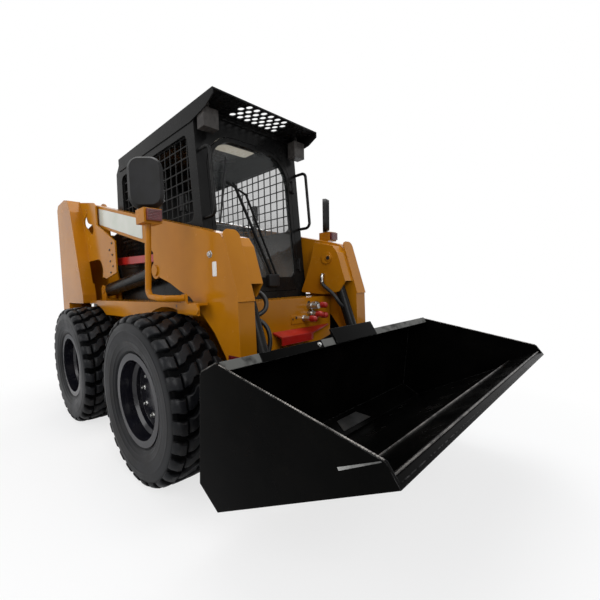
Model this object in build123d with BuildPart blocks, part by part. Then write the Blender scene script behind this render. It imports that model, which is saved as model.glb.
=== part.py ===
from build123d import *
from math import atan2, cos, degrees, hypot, radians, sin, sqrt, tan
import os

os.makedirs("parts", exist_ok=True)

# Skid steer loader, millimetres. +X is the machine's left, -Y its front, +Z up, ground at z = 0.
# Side profiles are drawn as (y, z): y runs rearward from the front axle, z up from the ground.

# ---------------------------------------------------------------- driving dimensions
wheelbase = 1210
tyre_radius = 460
tyre_width = 335
wheel_centre_x = 710
rim_radius = 222
rim_flange_radius = 250
rim_half_width = 140
axle_radius = 40

plate = 12                       # frame plate
fit = 0.05                       # radial clearance of a pin or shaft in its bore
side_gap = 6                     # free space beside a moving piece

frame_half_width = 450
frame_front = -330
frame_rear = 1700
frame_bottom = 250
frame_top = 955
deck_rear = -60                  # the frame's front deck ends here, under the cab
tail_foot = 560                  # bottom of the engine's rear door
chain_case_width = 110

tower_outer_x = 585              # inner face of the tower's outer plate
tower_front = 789
column_outer_x = 695
column_rear_top = 1893
column_rear_foot = 1925
tower_top = 1862

boom_pivot = (1385, 1708)
boom_pin_radius = 35
beam_slope = 15.5                # degrees
beam_depth = 165
arm_inner_x = 461
arm_outer_x = 566
arm_nose = -402                  # y where the straight top edge ends
arm_knee = (-523, 969)
arm_shin = (-531, 709)
hitch_pin = (-561, 313)
hitch_pin_radius = 25
arm_foot_radius = 55
rod_pin = (243, 1158)
rod_boss_radius = 52
tilt_pin_top = (-364, 1208)
bay_inner_x = 372                # inner face of the tilt cylinder's bay

lift_base = (1180, 1045)
lift_bore = 42
lift_barrel_radius = 52
lift_rod_radius = 27.5
lift_barrel_length = 866
lift_eye_radius = 46
lift_x = 515
tilt_bore = 26
tilt_barrel_radius = 32
tilt_rod_radius = 17.5
tilt_barrel_length = 620
tilt_eye_radius = 34
tilt_eye_width = 36
tilt_x = 420
cylinder_pin_radius = 25

bucket_width = 1782
bucket_curl = 30.5               # degrees, floor above level at the tip
bucket_floor = 746
bucket_heel = (806, 110)
bucket_rim = (556, 469)
bucket_lip = (450, 463)
bucket_nose_height = 59
bucket_plate = 10
lip_bar = (12, 36)               # thickness and height of the bar along the lip
hinge_off = 78                   # hinge pin behind the bucket's back, and up it from the heel
hinge_up = 10
tilt_off = 72                    # the tilt cylinder's lower pin, the same way
tilt_up = 240

cab_half_width = 439
cab_wall = 40
cab_front_foot = (-137, 967)
cab_front_top = (-50, 1960)
cab_rear = 1072
cab_roof_z = 2040
roof_top = 2070
roof_plate = 8
roof_skirt_z = 1976              # lower edge of the roof's side skirts
visor_front = -243
roof_rear = 990
visor_hole_radius = 21
handle_x = 418
handle_z = (1436, 1818)          # foot and head of the grab handles
handle_reach = 100

fender_outer_x = 640
fender_front = -310
fender_nose_z = 905              # the skirt's lower edge ahead of the front wheel's arch
hood_front = 1300
hood_rear = 1850
hood_top = 1500
hood_half_width = 425
hood_hinge = (1286, 1514)        # y, z of the hood's hinge pins
rear_door_y = 1880
tie_x = 400                      # tie-down holes in the rear bumper
tie_z = 400
tie_radius = 16

# ---------------------------------------------------------------- derived places
curl = radians(bucket_curl)
back_length = hypot(bucket_rim[0] - bucket_heel[0], bucket_rim[1] - bucket_heel[1])
back_dir = (
    (bucket_rim[0] - bucket_heel[0]) / back_length,
    (bucket_rim[1] - bucket_heel[1]) / back_length,
)
bucket_pin = (                   # the hinge pin in the bucket's own frame
    bucket_heel[0] + hinge_off * back_dir[1] + hinge_up * back_dir[0],
    bucket_heel[1] - hinge_off * back_dir[0] + hinge_up * back_dir[1],
)
bucket_tip = (
    hitch_pin[0] - bucket_pin[0] * cos(curl) - bucket_pin[1] * sin(curl),
    hitch_pin[1] + bucket_pin[0] * sin(curl) - bucket_pin[1] * cos(curl),
)
back_lean = atan2(back_dir[1], back_dir[0]) - curl   # up the bucket's back, from level rearward
heel_place = (
    hitch_pin[0] - hinge_off * sin(back_lean) - hinge_up * cos(back_lean),
    hitch_pin[1] + hinge_off * cos(back_lean) - hinge_up * sin(back_lean),
)
tilt_pin_foot = (
    heel_place[0] + tilt_off * sin(back_lean) + tilt_up * cos(back_lean),
    heel_place[1] - tilt_off * cos(back_lean) + tilt_up * sin(back_lean),
)
front_axle_y = -(bucket_tip[0] + column_rear_foot) / 2
slope = tan(radians(beam_slope))
half_beam = beam_depth / 2 / cos(radians(beam_slope))


def side_plane(x):
    """Vertical plane across the machine at x: local x rearward, local y up."""
    return Plane(origin=(x, front_axle_y, 0), x_dir=(0, 1, 0), z_dir=(1, 0, 0))


def front_plane(y):
    """Vertical plane facing forward at y: local x to the left, local y up."""
    return Plane(origin=(0, front_axle_y + y, 0), x_dir=(1, 0, 0), z_dir=(0, -1, 0))


def level_plane(z):
    """Horizontal plane at height z: local x to the left, local y rearward."""
    return Plane(origin=(0, front_axle_y, z), x_dir=(1, 0, 0), z_dir=(0, 0, 1))


def bucket_plane(x):
    """The bucket's own side plane: local x along its floor from the edge, local y up off it."""
    return Plane(
        origin=(x, front_axle_y + bucket_tip[0], bucket_tip[1]),
        x_dir=(0, cos(curl), -sin(curl)),
        z_dir=(1, 0, 0),
    )


def outline(plane, points, corner=0):
    """Closed straight-sided face on a plane, with its corners rounded if asked."""
    with BuildSketch(plane) as sketch:
        with BuildLine():
            Polyline(*points, close=True)
        make_face()
        if corner:
            fillet(sketch.vertices(), corner)
    return sketch.sketch


def disc(plane, centre, radius, hole=0):
    """Round face on a plane, with a hole if asked."""
    with BuildSketch(plane) as sketch:
        with Locations(centre):
            Circle(radius)
            if hole:
                Circle(hole, mode=Mode.SUBTRACT)
    return sketch.sketch


def block(plane, x_span, y_span):
    """Rectangle on a plane from two spans."""
    with BuildSketch(plane) as sketch:
        with Locations(((x_span[0] + x_span[1]) / 2, (y_span[0] + y_span[1]) / 2)):
            Rectangle(abs(x_span[1] - x_span[0]), abs(y_span[1] - y_span[0]))
    return sketch.sketch


def slot(plane, start, end, radius):
    """Slot on a plane between two centres."""
    centre = ((start[0] + end[0]) / 2, (start[1] + end[1]) / 2)
    length = hypot(end[0] - start[0], end[1] - start[1])
    turn = degrees(atan2(end[1] - start[1], end[0] - start[0]))
    with BuildSketch(plane) as sketch:
        with Locations(centre):
            SlotCenterToCenter(length, 2 * radius, rotation=turn)
    return sketch.sketch


def save(name, builder):
    builder.part.label = name
    export_step(builder.part, f"parts/{name}.step")


def beam_top(y):
    return boom_pivot[1] + half_beam + (y - boom_pivot[0]) * slope


def beam_bottom(y):
    return boom_pivot[1] - half_beam + (y - boom_pivot[0]) * slope


# ---------------------------------------------------------------- wheels
tyre_bead = rim_half_width - 8.2
wheels = (  # name, side, axle y
    ("front_left", 1, 0),
    ("front_right", -1, 0),
    ("rear_left", 1, wheelbase),
    ("rear_right", -1, wheelbase),
)
shaft_length = wheel_centre_x - frame_half_width - 10
for name, side, axle_y in wheels:
    wheel_plane = Plane(
        origin=(side * wheel_centre_x, front_axle_y + axle_y, tyre_radius),
        x_dir=(side, 0, 0),
        z_dir=(0, -side, 0),
    )
    wheel_axis = Axis(wheel_plane.origin, (1, 0, 0))
    half = tyre_width / 2
    with BuildPart() as tyre:
        with BuildSketch(wheel_plane):
            with BuildLine():
                Polyline(
                    (-tyre_bead, rim_radius + 0.2),
                    (-tyre_bead, rim_flange_radius + 2),
                    (-half, rim_flange_radius + 60),
                    (-half, tyre_radius - 90),
                    (-half + 12, tyre_radius - 16),
                    (0, tyre_radius),
                    (half - 12, tyre_radius - 16),
                    (half, tyre_radius - 90),
                    (half, rim_flange_radius + 60),
                    (tyre_bead, rim_flange_radius + 2),
                    (tyre_bead, rim_radius + 0.2),
                    (tyre_bead - 26, rim_radius + 0.2),
                    (half - 26, rim_radius + 80),
                    (half - 28, tyre_radius - 90),
                    (half - 50, tyre_radius - 50),
                    (-half + 50, tyre_radius - 50),
                    (-half + 28, tyre_radius - 90),
                    (-half + 26, rim_radius + 80),
                    (-tyre_bead + 26, rim_radius + 0.2),
                    close=True,
                )
            make_face()
        revolve(axis=wheel_axis)
    save(f"{name}_tyre", tyre)

    with BuildPart() as rim:
        with BuildSketch(wheel_plane):
            with BuildLine():
                Polyline(
                    (-rim_half_width, rim_flange_radius),
                    (-rim_half_width + 8, rim_flange_radius),
                    (-rim_half_width + 8, rim_radius),
                    (-62, rim_radius),
                    (-46, rim_radius - 18),
                    (46, rim_radius - 18),
                    (62, rim_radius),
                    (rim_half_width - 8, rim_radius),
                    (rim_half_width - 8, rim_flange_radius),
                    (rim_half_width, rim_flange_radius),
                    (rim_half_width, rim_radius - 8),
                    (64, rim_radius - 8),
                    (48, rim_radius - 27),
                    (22, rim_radius - 27),
                    (14, rim_radius - 60),
                    (14, 84),
                    (46, 78),
                    (46, 0),
                    (-shaft_length, 0),
                    (-shaft_length, axle_radius),
                    (-10, axle_radius),
                    (-10, 84),
                    (2, 84),
                    (2, rim_radius - 56),
                    (10, rim_radius - 27),
                    (-48, rim_radius - 27),
                    (-64, rim_radius - 8),
                    (-rim_half_width, rim_radius - 8),
                    close=True,
                )
            make_face()
        revolve(axis=wheel_axis)
    save(f"{name}_rim", rim)

with BuildPart() as axle_housings:
    for name, side, axle_y in wheels:
        centre = (axle_y, tyre_radius)
        near = side_plane(side * frame_half_width)
        extrude(disc(near, centre, 110, axle_radius + fit), amount=side * 18)
        extrude(disc(near, centre, 72, axle_radius + fit), amount=side * 130)
save("axle_housings", axle_housings)

# ---------------------------------------------------------------- lower frame
with BuildPart() as main_frame:
    frame_x = (-frame_half_width, frame_half_width)
    frame_y = (frame_front, frame_rear)
    extrude(block(level_plane(frame_bottom), frame_x, frame_y), amount=frame_top - frame_bottom)
    case_inner = frame_half_width - chain_case_width
    tub_x = (-case_inner + plate, case_inner - plate)
    deep = frame_top - frame_bottom - 2 * plate
    bay = (frame_front + plate, frame_rear - plate)
    floor = level_plane(frame_bottom + plate)
    extrude(block(floor, tub_x, bay), amount=deep, mode=Mode.SUBTRACT)
    extrude(block(floor, tub_x, (deck_rear, frame_rear - plate)), amount=deep + 2 * plate, mode=Mode.SUBTRACT)
    for side in (1, -1):
        case = (side * case_inner, side * (frame_half_width - plate))
        extrude(block(floor, case, bay), amount=deep, mode=Mode.SUBTRACT)
        for axle_y in (0, wheelbase):
            bore = disc(side_plane(side * (frame_half_width - plate - 5)), (axle_y, tyre_radius), axle_radius + 8)
            extrude(bore, amount=side * (plate + 10), mode=Mode.SUBTRACT)
save("main_frame", main_frame)

# ---------------------------------------------------------------- rear towers
ear_radius = 100
tower_inner_x = frame_half_width - plate
column_front_top = 1495
column_front_foot = 1300
fender_rear = column_front_foot - 1
tower_foot = frame_top + plate
tail_z = 520
column_wall_top = 1700           # top of the wall across the tower's back
plate_openings = (  # start, end, radius of the outer plate's slots
    ((1400, 1640), (1262, 1556), 42),
    ((1350, 1205), (1160, 1205), 95),
)
lug_x = lift_x + 30 + side_gap   # inner face of the lug outboard of the lift cylinder's eye
for name, side in (("left_tower", 1), ("right_tower", -1)):
    with BuildPart() as tower:
        outer = side_plane(side * tower_outer_x)
        outer_shape = (
            (tower_front, 1175),
            (tower_front, 1405),
            (boom_pivot[0] - 240, beam_bottom(boom_pivot[0] - 240) + 20),
            (boom_pivot[0] - 240, boom_pivot[1] + 20),
            (boom_pivot[0] - 190, boom_pivot[1] + 52),
            (column_front_top + 80, boom_pivot[1] + 130),
            (column_front_top + 80, tower_foot),
            (1325, tower_foot),
            (1325, 1150),
            (1052, 1150),
            (995, 1139),
        )
        inner = side_plane(side * tower_inner_x)
        inner_shape = (
            (boom_pivot[0] - 95, boom_pivot[1]),
            (boom_pivot[0] + ear_radius, boom_pivot[1]),
            (column_rear_top - 60, 1650),
            (column_rear_foot - 60, frame_top),
            (lift_base[0] - 80, frame_top),
            (lift_base[0] - 80, lift_base[1] + 60),
            (lift_base[0] + 60, 1400),
        )
        extrude(outline(inner, inner_shape, 8), amount=side * plate)
        extrude(disc(inner, boom_pivot, ear_radius), amount=side * plate)
        pin_end = tower_outer_x + plate + 8
        extrude(disc(inner, boom_pivot, boom_pin_radius), amount=side * (pin_end - tower_inner_x))
        extrude(disc(inner, lift_base, cylinder_pin_radius), amount=side * (lug_x - tower_inner_x + plate + 6))
        # lug on a foot plate that carries the outer end of the lift cylinder's pin
        lug_y = (lift_base[0] - lift_eye_radius, lift_base[0] + lift_eye_radius)
        lug = side_plane(side * lug_x)
        extrude(block(lug, lug_y, (tower_foot + fit, lift_base[1])), amount=side * plate)
        extrude(disc(lug, lift_base, lift_eye_radius), amount=side * plate)
        lug_foot = level_plane(tower_foot + fit)
        extrude(block(lug_foot, (side * tower_inner_x, side * (lug_x + plate)), lug_y), amount=plate)
        # rear column: a tapering box outboard of the plates
        column_shape = (
            (column_front_top, boom_pivot[1] + 30),
            (column_front_top + 60, tower_top - 20),
            (column_front_top + 150, tower_top),
            (column_rear_top - 40, tower_top - 10),
            (column_rear_top, tower_top - 50),
            (column_rear_foot, 880),
            (column_rear_foot, tail_z),
            (column_rear_foot - 200, tail_z),
            (column_rear_foot - 200, frame_top - plate),
            (column_front_foot, frame_top - plate),
            (column_front_foot, frame_top + 60),
        )
        column_width = column_outer_x - tower_outer_x
        extrude(outline(outer, column_shape, 8), amount=side * column_width)
        hollow = side_plane(side * (tower_outer_x - 1))
        with BuildSketch(hollow) as core:
            add(outline(Plane.XY, column_shape, 8))
            offset(amount=-plate, kind=Kind.INTERSECTION)
        extrude(core.sketch, amount=side * (column_width - plate + 1), mode=Mode.SUBTRACT)
        extrude(outline(outer, outer_shape, 12), amount=side * plate)
        for start, end, radius in plate_openings:
            extrude(slot(outer, start, end, radius), amount=side * plate, mode=Mode.SUBTRACT)
        # rear wall between the plates and the foot plate on the frame
        foot_x = (side * frame_half_width, side * column_outer_x)
        foot_y = (column_front_foot, column_rear_foot - plate)
        extrude(block(level_plane(frame_top), foot_x, foot_y), amount=plate)
        extrude(block(front_plane(column_rear_foot - 60), foot_x, (tail_z, column_wall_top)), amount=-plate)
    save(name, tower)

# ---------------------------------------------------------------- fenders
arm_notch = -115                 # the fender's inner part starts behind the lift arm
with BuildPart() as fenders:
    for side in (1, -1):
        top_x = (side * frame_half_width, side * fender_outer_x)
        extrude(block(level_plane(frame_top), top_x, (fender_front, fender_rear)), amount=plate)
        skirt = side_plane(side * (fender_outer_x - plate))
        skirt_shape = (
            (fender_front, frame_top + plate),
            (fender_front, fender_nose_z),
            (-150, fender_nose_z),
            (-150, 2 * tyre_radius - 60),
            (fender_rear, 2 * tyre_radius - 60),
            (fender_rear, frame_top + plate),
        )
        extrude(outline(skirt, skirt_shape), amount=side * plate)
        flange_x = (side * frame_half_width, side * (frame_half_width + 8))
        extrude(block(level_plane(frame_top), flange_x, (arm_notch, fender_rear)), amount=-50)
        for axle_y in (0, wheelbase):
            arch = disc(skirt, (axle_y, tyre_radius), tyre_radius + 22)
            extrude(arch, amount=side * plate, mode=Mode.SUBTRACT)
        notch_x = (side * (frame_half_width - 1), side * (arm_outer_x + 12))
        notch = block(level_plane(frame_top - 1), notch_x, (fender_front - 1, arm_notch))
        extrude(notch, amount=plate + 2, mode=Mode.SUBTRACT)
save("fenders", fenders)

# ---------------------------------------------------------------- engine, its covers and the tail
with BuildPart() as engine_block:
    extrude(block(level_plane(420), (-260, 260), (1150, 1680)), amount=520)
    extrude(block(level_plane(frame_bottom + plate), (-200, 200), (1200, 1600)), amount=160)
save("engine_block", engine_block)

rear_hinge = (hood_half_width + 1, rear_door_y - 10)     # x, y
rear_hinge_z = (700, 1280)
hood_hinge_x = (-280, 280)
with BuildPart() as engine_cowl:
    cowl_front = cab_rear + 30
    cowl_shape = (
        (cowl_front, frame_top),
        (cowl_front, hood_top + 30),
        (hood_front - 8, hood_top),
        (hood_rear, hood_top - 60),
        (hood_rear, tail_foot),
        (frame_rear + fit, tail_foot),
        (frame_rear + fit, frame_top),
    )
    cowl_width = hood_half_width
    extrude(outline(side_plane(-cowl_width), cowl_shape), amount=2 * cowl_width)
    core_shape = (
        (cowl_front + 4, frame_top - 1),
        (cowl_front + 4, hood_top + 25),
        (hood_front - 8, hood_top - 5),
        (hood_front - 8, hood_top + 200),
        (hood_rear + 1, hood_top + 200),
        (hood_rear + 1, tail_foot - 1),
        (frame_rear + 4, tail_foot - 1),
        (frame_rear + 4, frame_top - 1),
    )
    extrude(outline(side_plane(-cowl_width + 4), core_shape), amount=2 * cowl_width - 8, mode=Mode.SUBTRACT)
    for z in rear_hinge_z:
        for low in (z - 52, z + 40):
            lug = level_plane(low)
            extrude(block(lug, (cowl_width - 4, rear_hinge[0]), (hood_rear - 20, rear_hinge[1] + 8)), amount=12)
            extrude(disc(lug, rear_hinge, 8), amount=12)
        extrude(disc(level_plane(z - 52), rear_hinge, 4), amount=104)
    # hood hinge lugs with their pins
    for x in hood_hinge_x:
        for lug_start in (x - 36, x + 24):
            lug = side_plane(lug_start)
            extrude(block(lug, (hood_hinge[0] - 9, hood_hinge[0] + 4), (hood_top - 2, hood_hinge[1])), amount=12)
            extrude(disc(lug, hood_hinge, 9), amount=12)
        extrude(disc(side_plane(x - 36), hood_hinge, 4), amount=72)
save("engine_cowl", engine_cowl)

with BuildPart() as engine_hood:
    hood_shape = (
        (hood_front, hood_top + 0.5),
        (hood_front, hood_top + 26),
        (hood_front + 60, hood_top + 34),
        (hood_rear + 10, hood_top - 30),
        (hood_rear + 10, hood_top - 60.5),
        (hood_rear, hood_top - 59.5),
    )
    extrude(outline(side_plane(-hood_half_width), hood_shape), amount=2 * hood_half_width)
    for x in hood_hinge_x:
        knuckle = side_plane(x - 23)
        extrude(block(knuckle, (hood_hinge[0], hood_front + 2), (hood_hinge[1] - 5, hood_hinge[1] + 7)), amount=46)
        extrude(disc(knuckle, hood_hinge, 9), amount=46)
        extrude(disc(knuckle, hood_hinge, 4 + fit), amount=46, mode=Mode.SUBTRACT)
save("engine_hood", engine_hood)

with BuildPart() as rear_bumper:
    bumper_y = (frame_rear + fit, column_rear_foot - 60)
    extrude(block(level_plane(300), (-520, 520), bumper_y), amount=200)
    extrude(block(level_plane(299), (-508, 508), (frame_rear - 1, bumper_y[1] - 25)), amount=189, mode=Mode.SUBTRACT)
    for side in (1, -1):
        tie = disc(front_plane(bumper_y[1] + 1), (side * tie_x, tie_z), tie_radius)
        extrude(tie, amount=30, mode=Mode.SUBTRACT)
save("rear_bumper", rear_bumper)

with BuildPart() as rear_door:
    door_x = (-hood_half_width + 2, rear_hinge[0] - 18)
    extrude(block(front_plane(rear_door_y), door_x, (tail_foot, hood_top - 80)), amount=20)
    for z in rear_hinge_z:
        knuckle = level_plane(z - 38)
        arm_y = (rear_door_y - 16, rear_door_y - 2)
        extrude(block(knuckle, (door_x[1] - 4, rear_hinge[0]), arm_y), amount=76)
        extrude(disc(knuckle, rear_hinge, 8), amount=76)
        extrude(disc(knuckle, rear_hinge, 4 + fit), amount=76, mode=Mode.SUBTRACT)
save("rear_door", rear_door)

# ---------------------------------------------------------------- cab
cab_floor_z = frame_top + fit
seat_floor = 988
lean = (cab_front_top[0] - cab_front_foot[0]) / (cab_front_top[1] - cab_front_foot[1])


def cab_front(z):
    """y of the cab's leaning front at height z."""
    return cab_front_foot[0] + (z - cab_front_foot[1]) * lean


cab_shape = (
    (cab_front(cab_floor_z), cab_floor_z),
    (cab_front(cab_roof_z), cab_roof_z),
    (roof_rear, cab_roof_z),
    (cab_rear - 14, 1972),
    (cab_rear, 1698),
    (cab_rear, cab_floor_z),
)
cab_inside = (
    (cab_front(seat_floor) + cab_wall, seat_floor),
    (cab_front(cab_roof_z) + cab_wall, cab_roof_z + 1),
    (roof_rear - 30, cab_roof_z + 1),
    (cab_rear - 14 - cab_wall, 1972),
    (cab_rear - cab_wall, 1698),
    (cab_rear - cab_wall, seat_floor),
)
door_half_width = 370
door_foot = 1000
door_top = 1950
door_rim = (30, 95)              # the door frame beside and above its glass, and below it
door_corners = (220, 60)         # corner radii of the door's opening, head and foot
glass_corners = (190, 60)
window_sill = 1430
window_head = 1930
window_pillar = 75               # from the cab's front to the side window
window_rear = 960
door_gap = 4
door_thick = 32
front_lean = atan2(lean, 1)
door_plane = Plane(
    origin=(0, front_axle_y + cab_front(door_foot), door_foot),
    x_dir=(1, 0, 0),
    z_dir=(0, -cos(front_lean), sin(front_lean)),
)
door_height = (door_top - door_foot) / cos(front_lean)
door_hinge_heights = (180, door_height - 220)
hinge_out = 11                   # the door's hinge line, ahead of the cab's face


def hinge_plane(along):
    """Plane across the cab door's hinge line, facing down: local x to the left, local y forward."""
    place = door_plane.from_local_coords((door_half_width + 8, along, hinge_out))
    return Plane(origin=place, x_dir=(1, 0, 0), z_dir=(0, -sin(front_lean), -cos(front_lean)))


def door_shape(plane, gap, foot_gap, corners):
    """Door-shaped face on a plane: gap in from the opening's sides and head, foot_gap up from its foot."""
    height = door_height - gap - foot_gap
    with BuildSketch(plane) as sketch:
        with Locations((0, foot_gap + height / 2)):
            Rectangle(2 * (door_half_width - gap), height)
        fillet(sketch.vertices().sort_by(Axis.Y)[2:], corners[0])
        fillet(sketch.vertices().sort_by(Axis.Y)[:2], corners[1])
    return sketch.sketch


side_window = (
    (cab_front(window_sill) + window_pillar, window_sill),
    (cab_front(window_head) + window_pillar, window_head),
    (window_rear, window_head),
    (window_rear, window_sill),
)

with BuildPart() as cab_shell:
    extrude(outline(side_plane(-cab_half_width), cab_shape), amount=2 * cab_half_width)
    inside_half = cab_half_width - cab_wall
    extrude(outline(side_plane(-inside_half), cab_inside), amount=2 * inside_half, mode=Mode.SUBTRACT)
    door_hole = door_shape(door_plane.offset(60), 0, 0, door_corners)
    extrude(door_hole, amount=-160, mode=Mode.SUBTRACT)
    window_hole = outline(side_plane(-cab_half_width - 1), side_window, 45)
    extrude(window_hole, amount=2 * cab_half_width + 2, mode=Mode.SUBTRACT)
    with BuildSketch(front_plane(cab_rear + 10)) as rear_hole:
        with Locations((0, 1680)):
            RectangleRounded(600, 420, 50)
    extrude(rear_hole.sketch, amount=80, mode=Mode.SUBTRACT)
    for along in door_hinge_heights:
        for high in (along - 32, along + 44):
            lug = hinge_plane(high)
            extrude(block(lug, (-7, 10), (-hinge_out - 2, 0)), amount=12)
            extrude(disc(lug, (0, 0), 10), amount=12)
        extrude(disc(hinge_plane(along + 44), (0, 0), 6), amount=88)
save("cab_shell", cab_shell)

with BuildPart() as cab_roof:
    visor_rear = cab_front(cab_roof_z) - 8
    roof_shape = (
        (visor_front, roof_top - roof_plate),
        (visor_front, roof_top),
        (roof_rear, roof_top),
        (roof_rear, cab_roof_z + 0.5),
        (visor_rear, cab_roof_z + 0.5),
        (visor_rear, roof_top - roof_plate),
    )
    extrude(outline(side_plane(-cab_half_width), roof_shape), amount=2 * cab_half_width)
    # side skirts, which rise towards the visor's front corners
    skirt = (
        (visor_front, roof_top),
        (visor_front, roof_top - 34),
        (visor_front + 65, roof_skirt_z + 25),
        (-30, roof_skirt_z),
        (roof_rear, roof_skirt_z),
        (roof_rear, roof_top),
    )
    for side in (1, -1):
        extrude(outline(side_plane(side * (cab_half_width + fit)), skirt), amount=side * 6)
        extrude(block(side_plane(side * cab_half_width), (visor_front, roof_rear), (roof_top - roof_plate, roof_top)),
                amount=side * 6)
    # staggered vent holes through the visor, in two pairs of rows
    for row_y, count in ((-208, 6), (-169, 7), (-130, 6), (-94, 7)):
        with BuildSketch(level_plane(roof_top + 1)) as holes:
            with Locations((0, row_y)):
                with GridLocations(60, 1, count, 1):
                    Circle(visor_hole_radius)
        extrude(holes.sketch, amount=-(roof_plate + 2), mode=Mode.SUBTRACT)
save("cab_roof", cab_roof)

mesh_pitch = 65
mesh_wire = 7
with BuildPart() as side_grilles:
    for side in (1, -1):
        near = side_plane(side * (cab_half_width - cab_wall / 2))
        with BuildSketch() as panes:
            with Locations(((side_window[0][0] + window_rear) / 2, (window_sill + window_head) / 2)):
                with GridLocations(mesh_pitch, mesh_pitch, 15, 8):
                    Rectangle(mesh_pitch - mesh_wire, mesh_pitch - mesh_wire)
            with BuildSketch(mode=Mode.INTERSECT):
                add(outline(Plane.XY, side_window, 45))
                offset(amount=-mesh_wire)
        with BuildSketch(near) as lattice:
            add(outline(Plane.XY, side_window, 45))
            offset(amount=-0.3)
            add(panes.sketch, mode=Mode.SUBTRACT)
        extrude(lattice.sketch, amount=side * 6)
save("side_grilles", side_grilles)

with BuildPart() as rear_window:
    with BuildSketch(front_plane(cab_rear - 12)) as pane:
        with Locations((0, 1680)):
            RectangleRounded(599.4, 419.4, 50)
    extrude(pane.sketch, amount=6)
save("rear_window", rear_window)

lap_pivot = (790, seat_floor + 560)
lap_front = (262, seat_floor + 486)
with BuildPart() as operator_seat:
    extrude(block(level_plane(seat_floor), (-280, 280), (360, 860)), amount=330)
    extrude(block(level_plane(seat_floor + 330), (-240, 240), (330, 800)), amount=110)
    back = (
        (700, seat_floor + 330),
        (700, seat_floor + 440),
        (800, seat_floor + 900),
        (880, seat_floor + 900),
        (830, seat_floor + 330),
    )
    extrude(outline(side_plane(-230), back, 20), amount=460)
    extrude(disc(side_plane(-284), lap_pivot, 12), amount=568)
save("operator_seat", operator_seat)

with BuildPart() as control_levers:
    for side in (1, -1):
        foot = level_plane(seat_floor)
        extrude(block(foot, (side * 290, side * 370), (200, 420)), amount=420)
        lever = level_plane(seat_floor + 420)
        extrude(disc(lever, (side * 330, 260), 12), amount=150)
        extrude(disc(level_plane(seat_floor + 560), (side * 330, 260), 24), amount=110)
save("control_levers", control_levers)

with BuildPart() as lap_bar:
    arm = (
        (lap_pivot[0], lap_pivot[1] - 15),
        (lap_pivot[0], lap_pivot[1] + 15),
        (lap_front[0] - 12, lap_front[1] + 16),
        (lap_front[0] - 12, lap_front[1] - 14),
    )
    for side in (1, -1):
        extrude(outline(side_plane(side * 250), arm, 6), amount=side * 26)
        extrude(disc(side_plane(side * 250), lap_pivot, 26), amount=side * 26)
        extrude(disc(side_plane(side * 250), lap_pivot, 12 + fit), amount=side * 26, mode=Mode.SUBTRACT)
    extrude(disc(side_plane(-250), lap_front, 16), amount=500)
save("lap_bar", lap_bar)

# ---------------------------------------------------------------- cab door
with BuildPart() as cab_door:
    door_back = door_plane.offset(-door_thick)
    extrude(door_shape(door_back, door_gap, door_gap, door_corners), amount=door_thick)
    extrude(door_shape(door_back, *door_rim, glass_corners), amount=door_thick, mode=Mode.SUBTRACT)
    for along in door_hinge_heights:
        knuckle = hinge_plane(along + 30)
        extrude(block(knuckle, (-34, -14), (-11, -2)), amount=60)
        extrude(block(knuckle, (-18, 0), (-8, 0)), amount=60)
        extrude(disc(knuckle, (0, 0), 10), amount=60)
        extrude(disc(knuckle, (0, 0), 6 + fit), amount=60, mode=Mode.SUBTRACT)
save("cab_door", cab_door)

with BuildPart() as door_glass:
    glass_shape = door_shape(door_plane.offset(-18), door_rim[0] + 0.3, door_rim[1] + 0.3, glass_corners)
    extrude(glass_shape, amount=8)
save("door_glass", door_glass)

with BuildPart() as grab_handles:
    for side in (1, -1):
        loop_x = side * handle_x
        foot_y, head_y = (front_axle_y + cab_front(z) for z in handle_z)
        with BuildLine() as route:
            FilletPolyline(
                (loop_x, head_y - 1.4, handle_z[1]),
                (loop_x, head_y - handle_reach, handle_z[1]),
                (loop_x, foot_y - handle_reach, handle_z[0]),
                (loop_x, foot_y - 1.4, handle_z[0]),
                radius=34,
            )
        with BuildSketch(Plane(origin=route.line @ 0, z_dir=route.line % 0)) as bar:
            Circle(10)
        sweep(bar.sketch, path=route.line)
save("grab_handles", grab_handles)

# ---------------------------------------------------------------- mirrors and lamps
mirror_x = 769
mirror_z = 1572
mirror_size = (176, 252)
mirror_turn = radians(34)        # the heads look back and inward
with BuildPart() as mirror_posts:
    for side in (1, -1):
        bracket_y = -200
        bracket = (
            (-133, fender_nose_z + 6),
            (-310, fender_nose_z + 6),
            (-330, 936),
            (-310, 964),
            (bracket_y - 25, 964),
            (bracket_y - 25, 1012),
            (bracket_y + 25, 1012),
            (bracket_y + 25, 964),
            (-133, 964),
        )
        extrude(outline(side_plane(side * fender_outer_x), bracket, 8), amount=side * 10)
        with BuildLine() as route:
            FilletPolyline(
                (side * (fender_outer_x + 10), front_axle_y + bracket_y, 992),
                (side * mirror_x, front_axle_y + bracket_y + 20, 996),
                (side * mirror_x, front_axle_y - 50, 1010),
                (side * mirror_x, front_axle_y - 90, 1370),
                radius=38,
            )
        with BuildSketch(Plane(origin=route.line @ 0, z_dir=route.line % 0)) as bar:
            Circle(16)
        sweep(bar.sketch, path=route.line)
        extrude(block(level_plane(1368), (side * 720, side * 818), (-150, -60)), amount=70)
        extrude(disc(level_plane(1438), (side * mirror_x, -90), 10), amount=mirror_z - mirror_size[1] / 2 - 1438)
save("mirror_posts", mirror_posts)

with BuildPart() as mirror_heads:
    for side in (1, -1):
        middle = (side * mirror_x, front_axle_y - 90, mirror_z)
        facing = (side * sin(mirror_turn), -cos(mirror_turn), 0)
        across = (cos(mirror_turn), side * sin(mirror_turn), 0)
        with BuildSketch(Plane(origin=middle, x_dir=across, z_dir=facing)) as head:
            RectangleRounded(*mirror_size, 62)
        extrude(head.sketch, amount=-24)
        extrude(head.sketch, amount=26, taper=30)
save("mirror_heads", mirror_heads)

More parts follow.
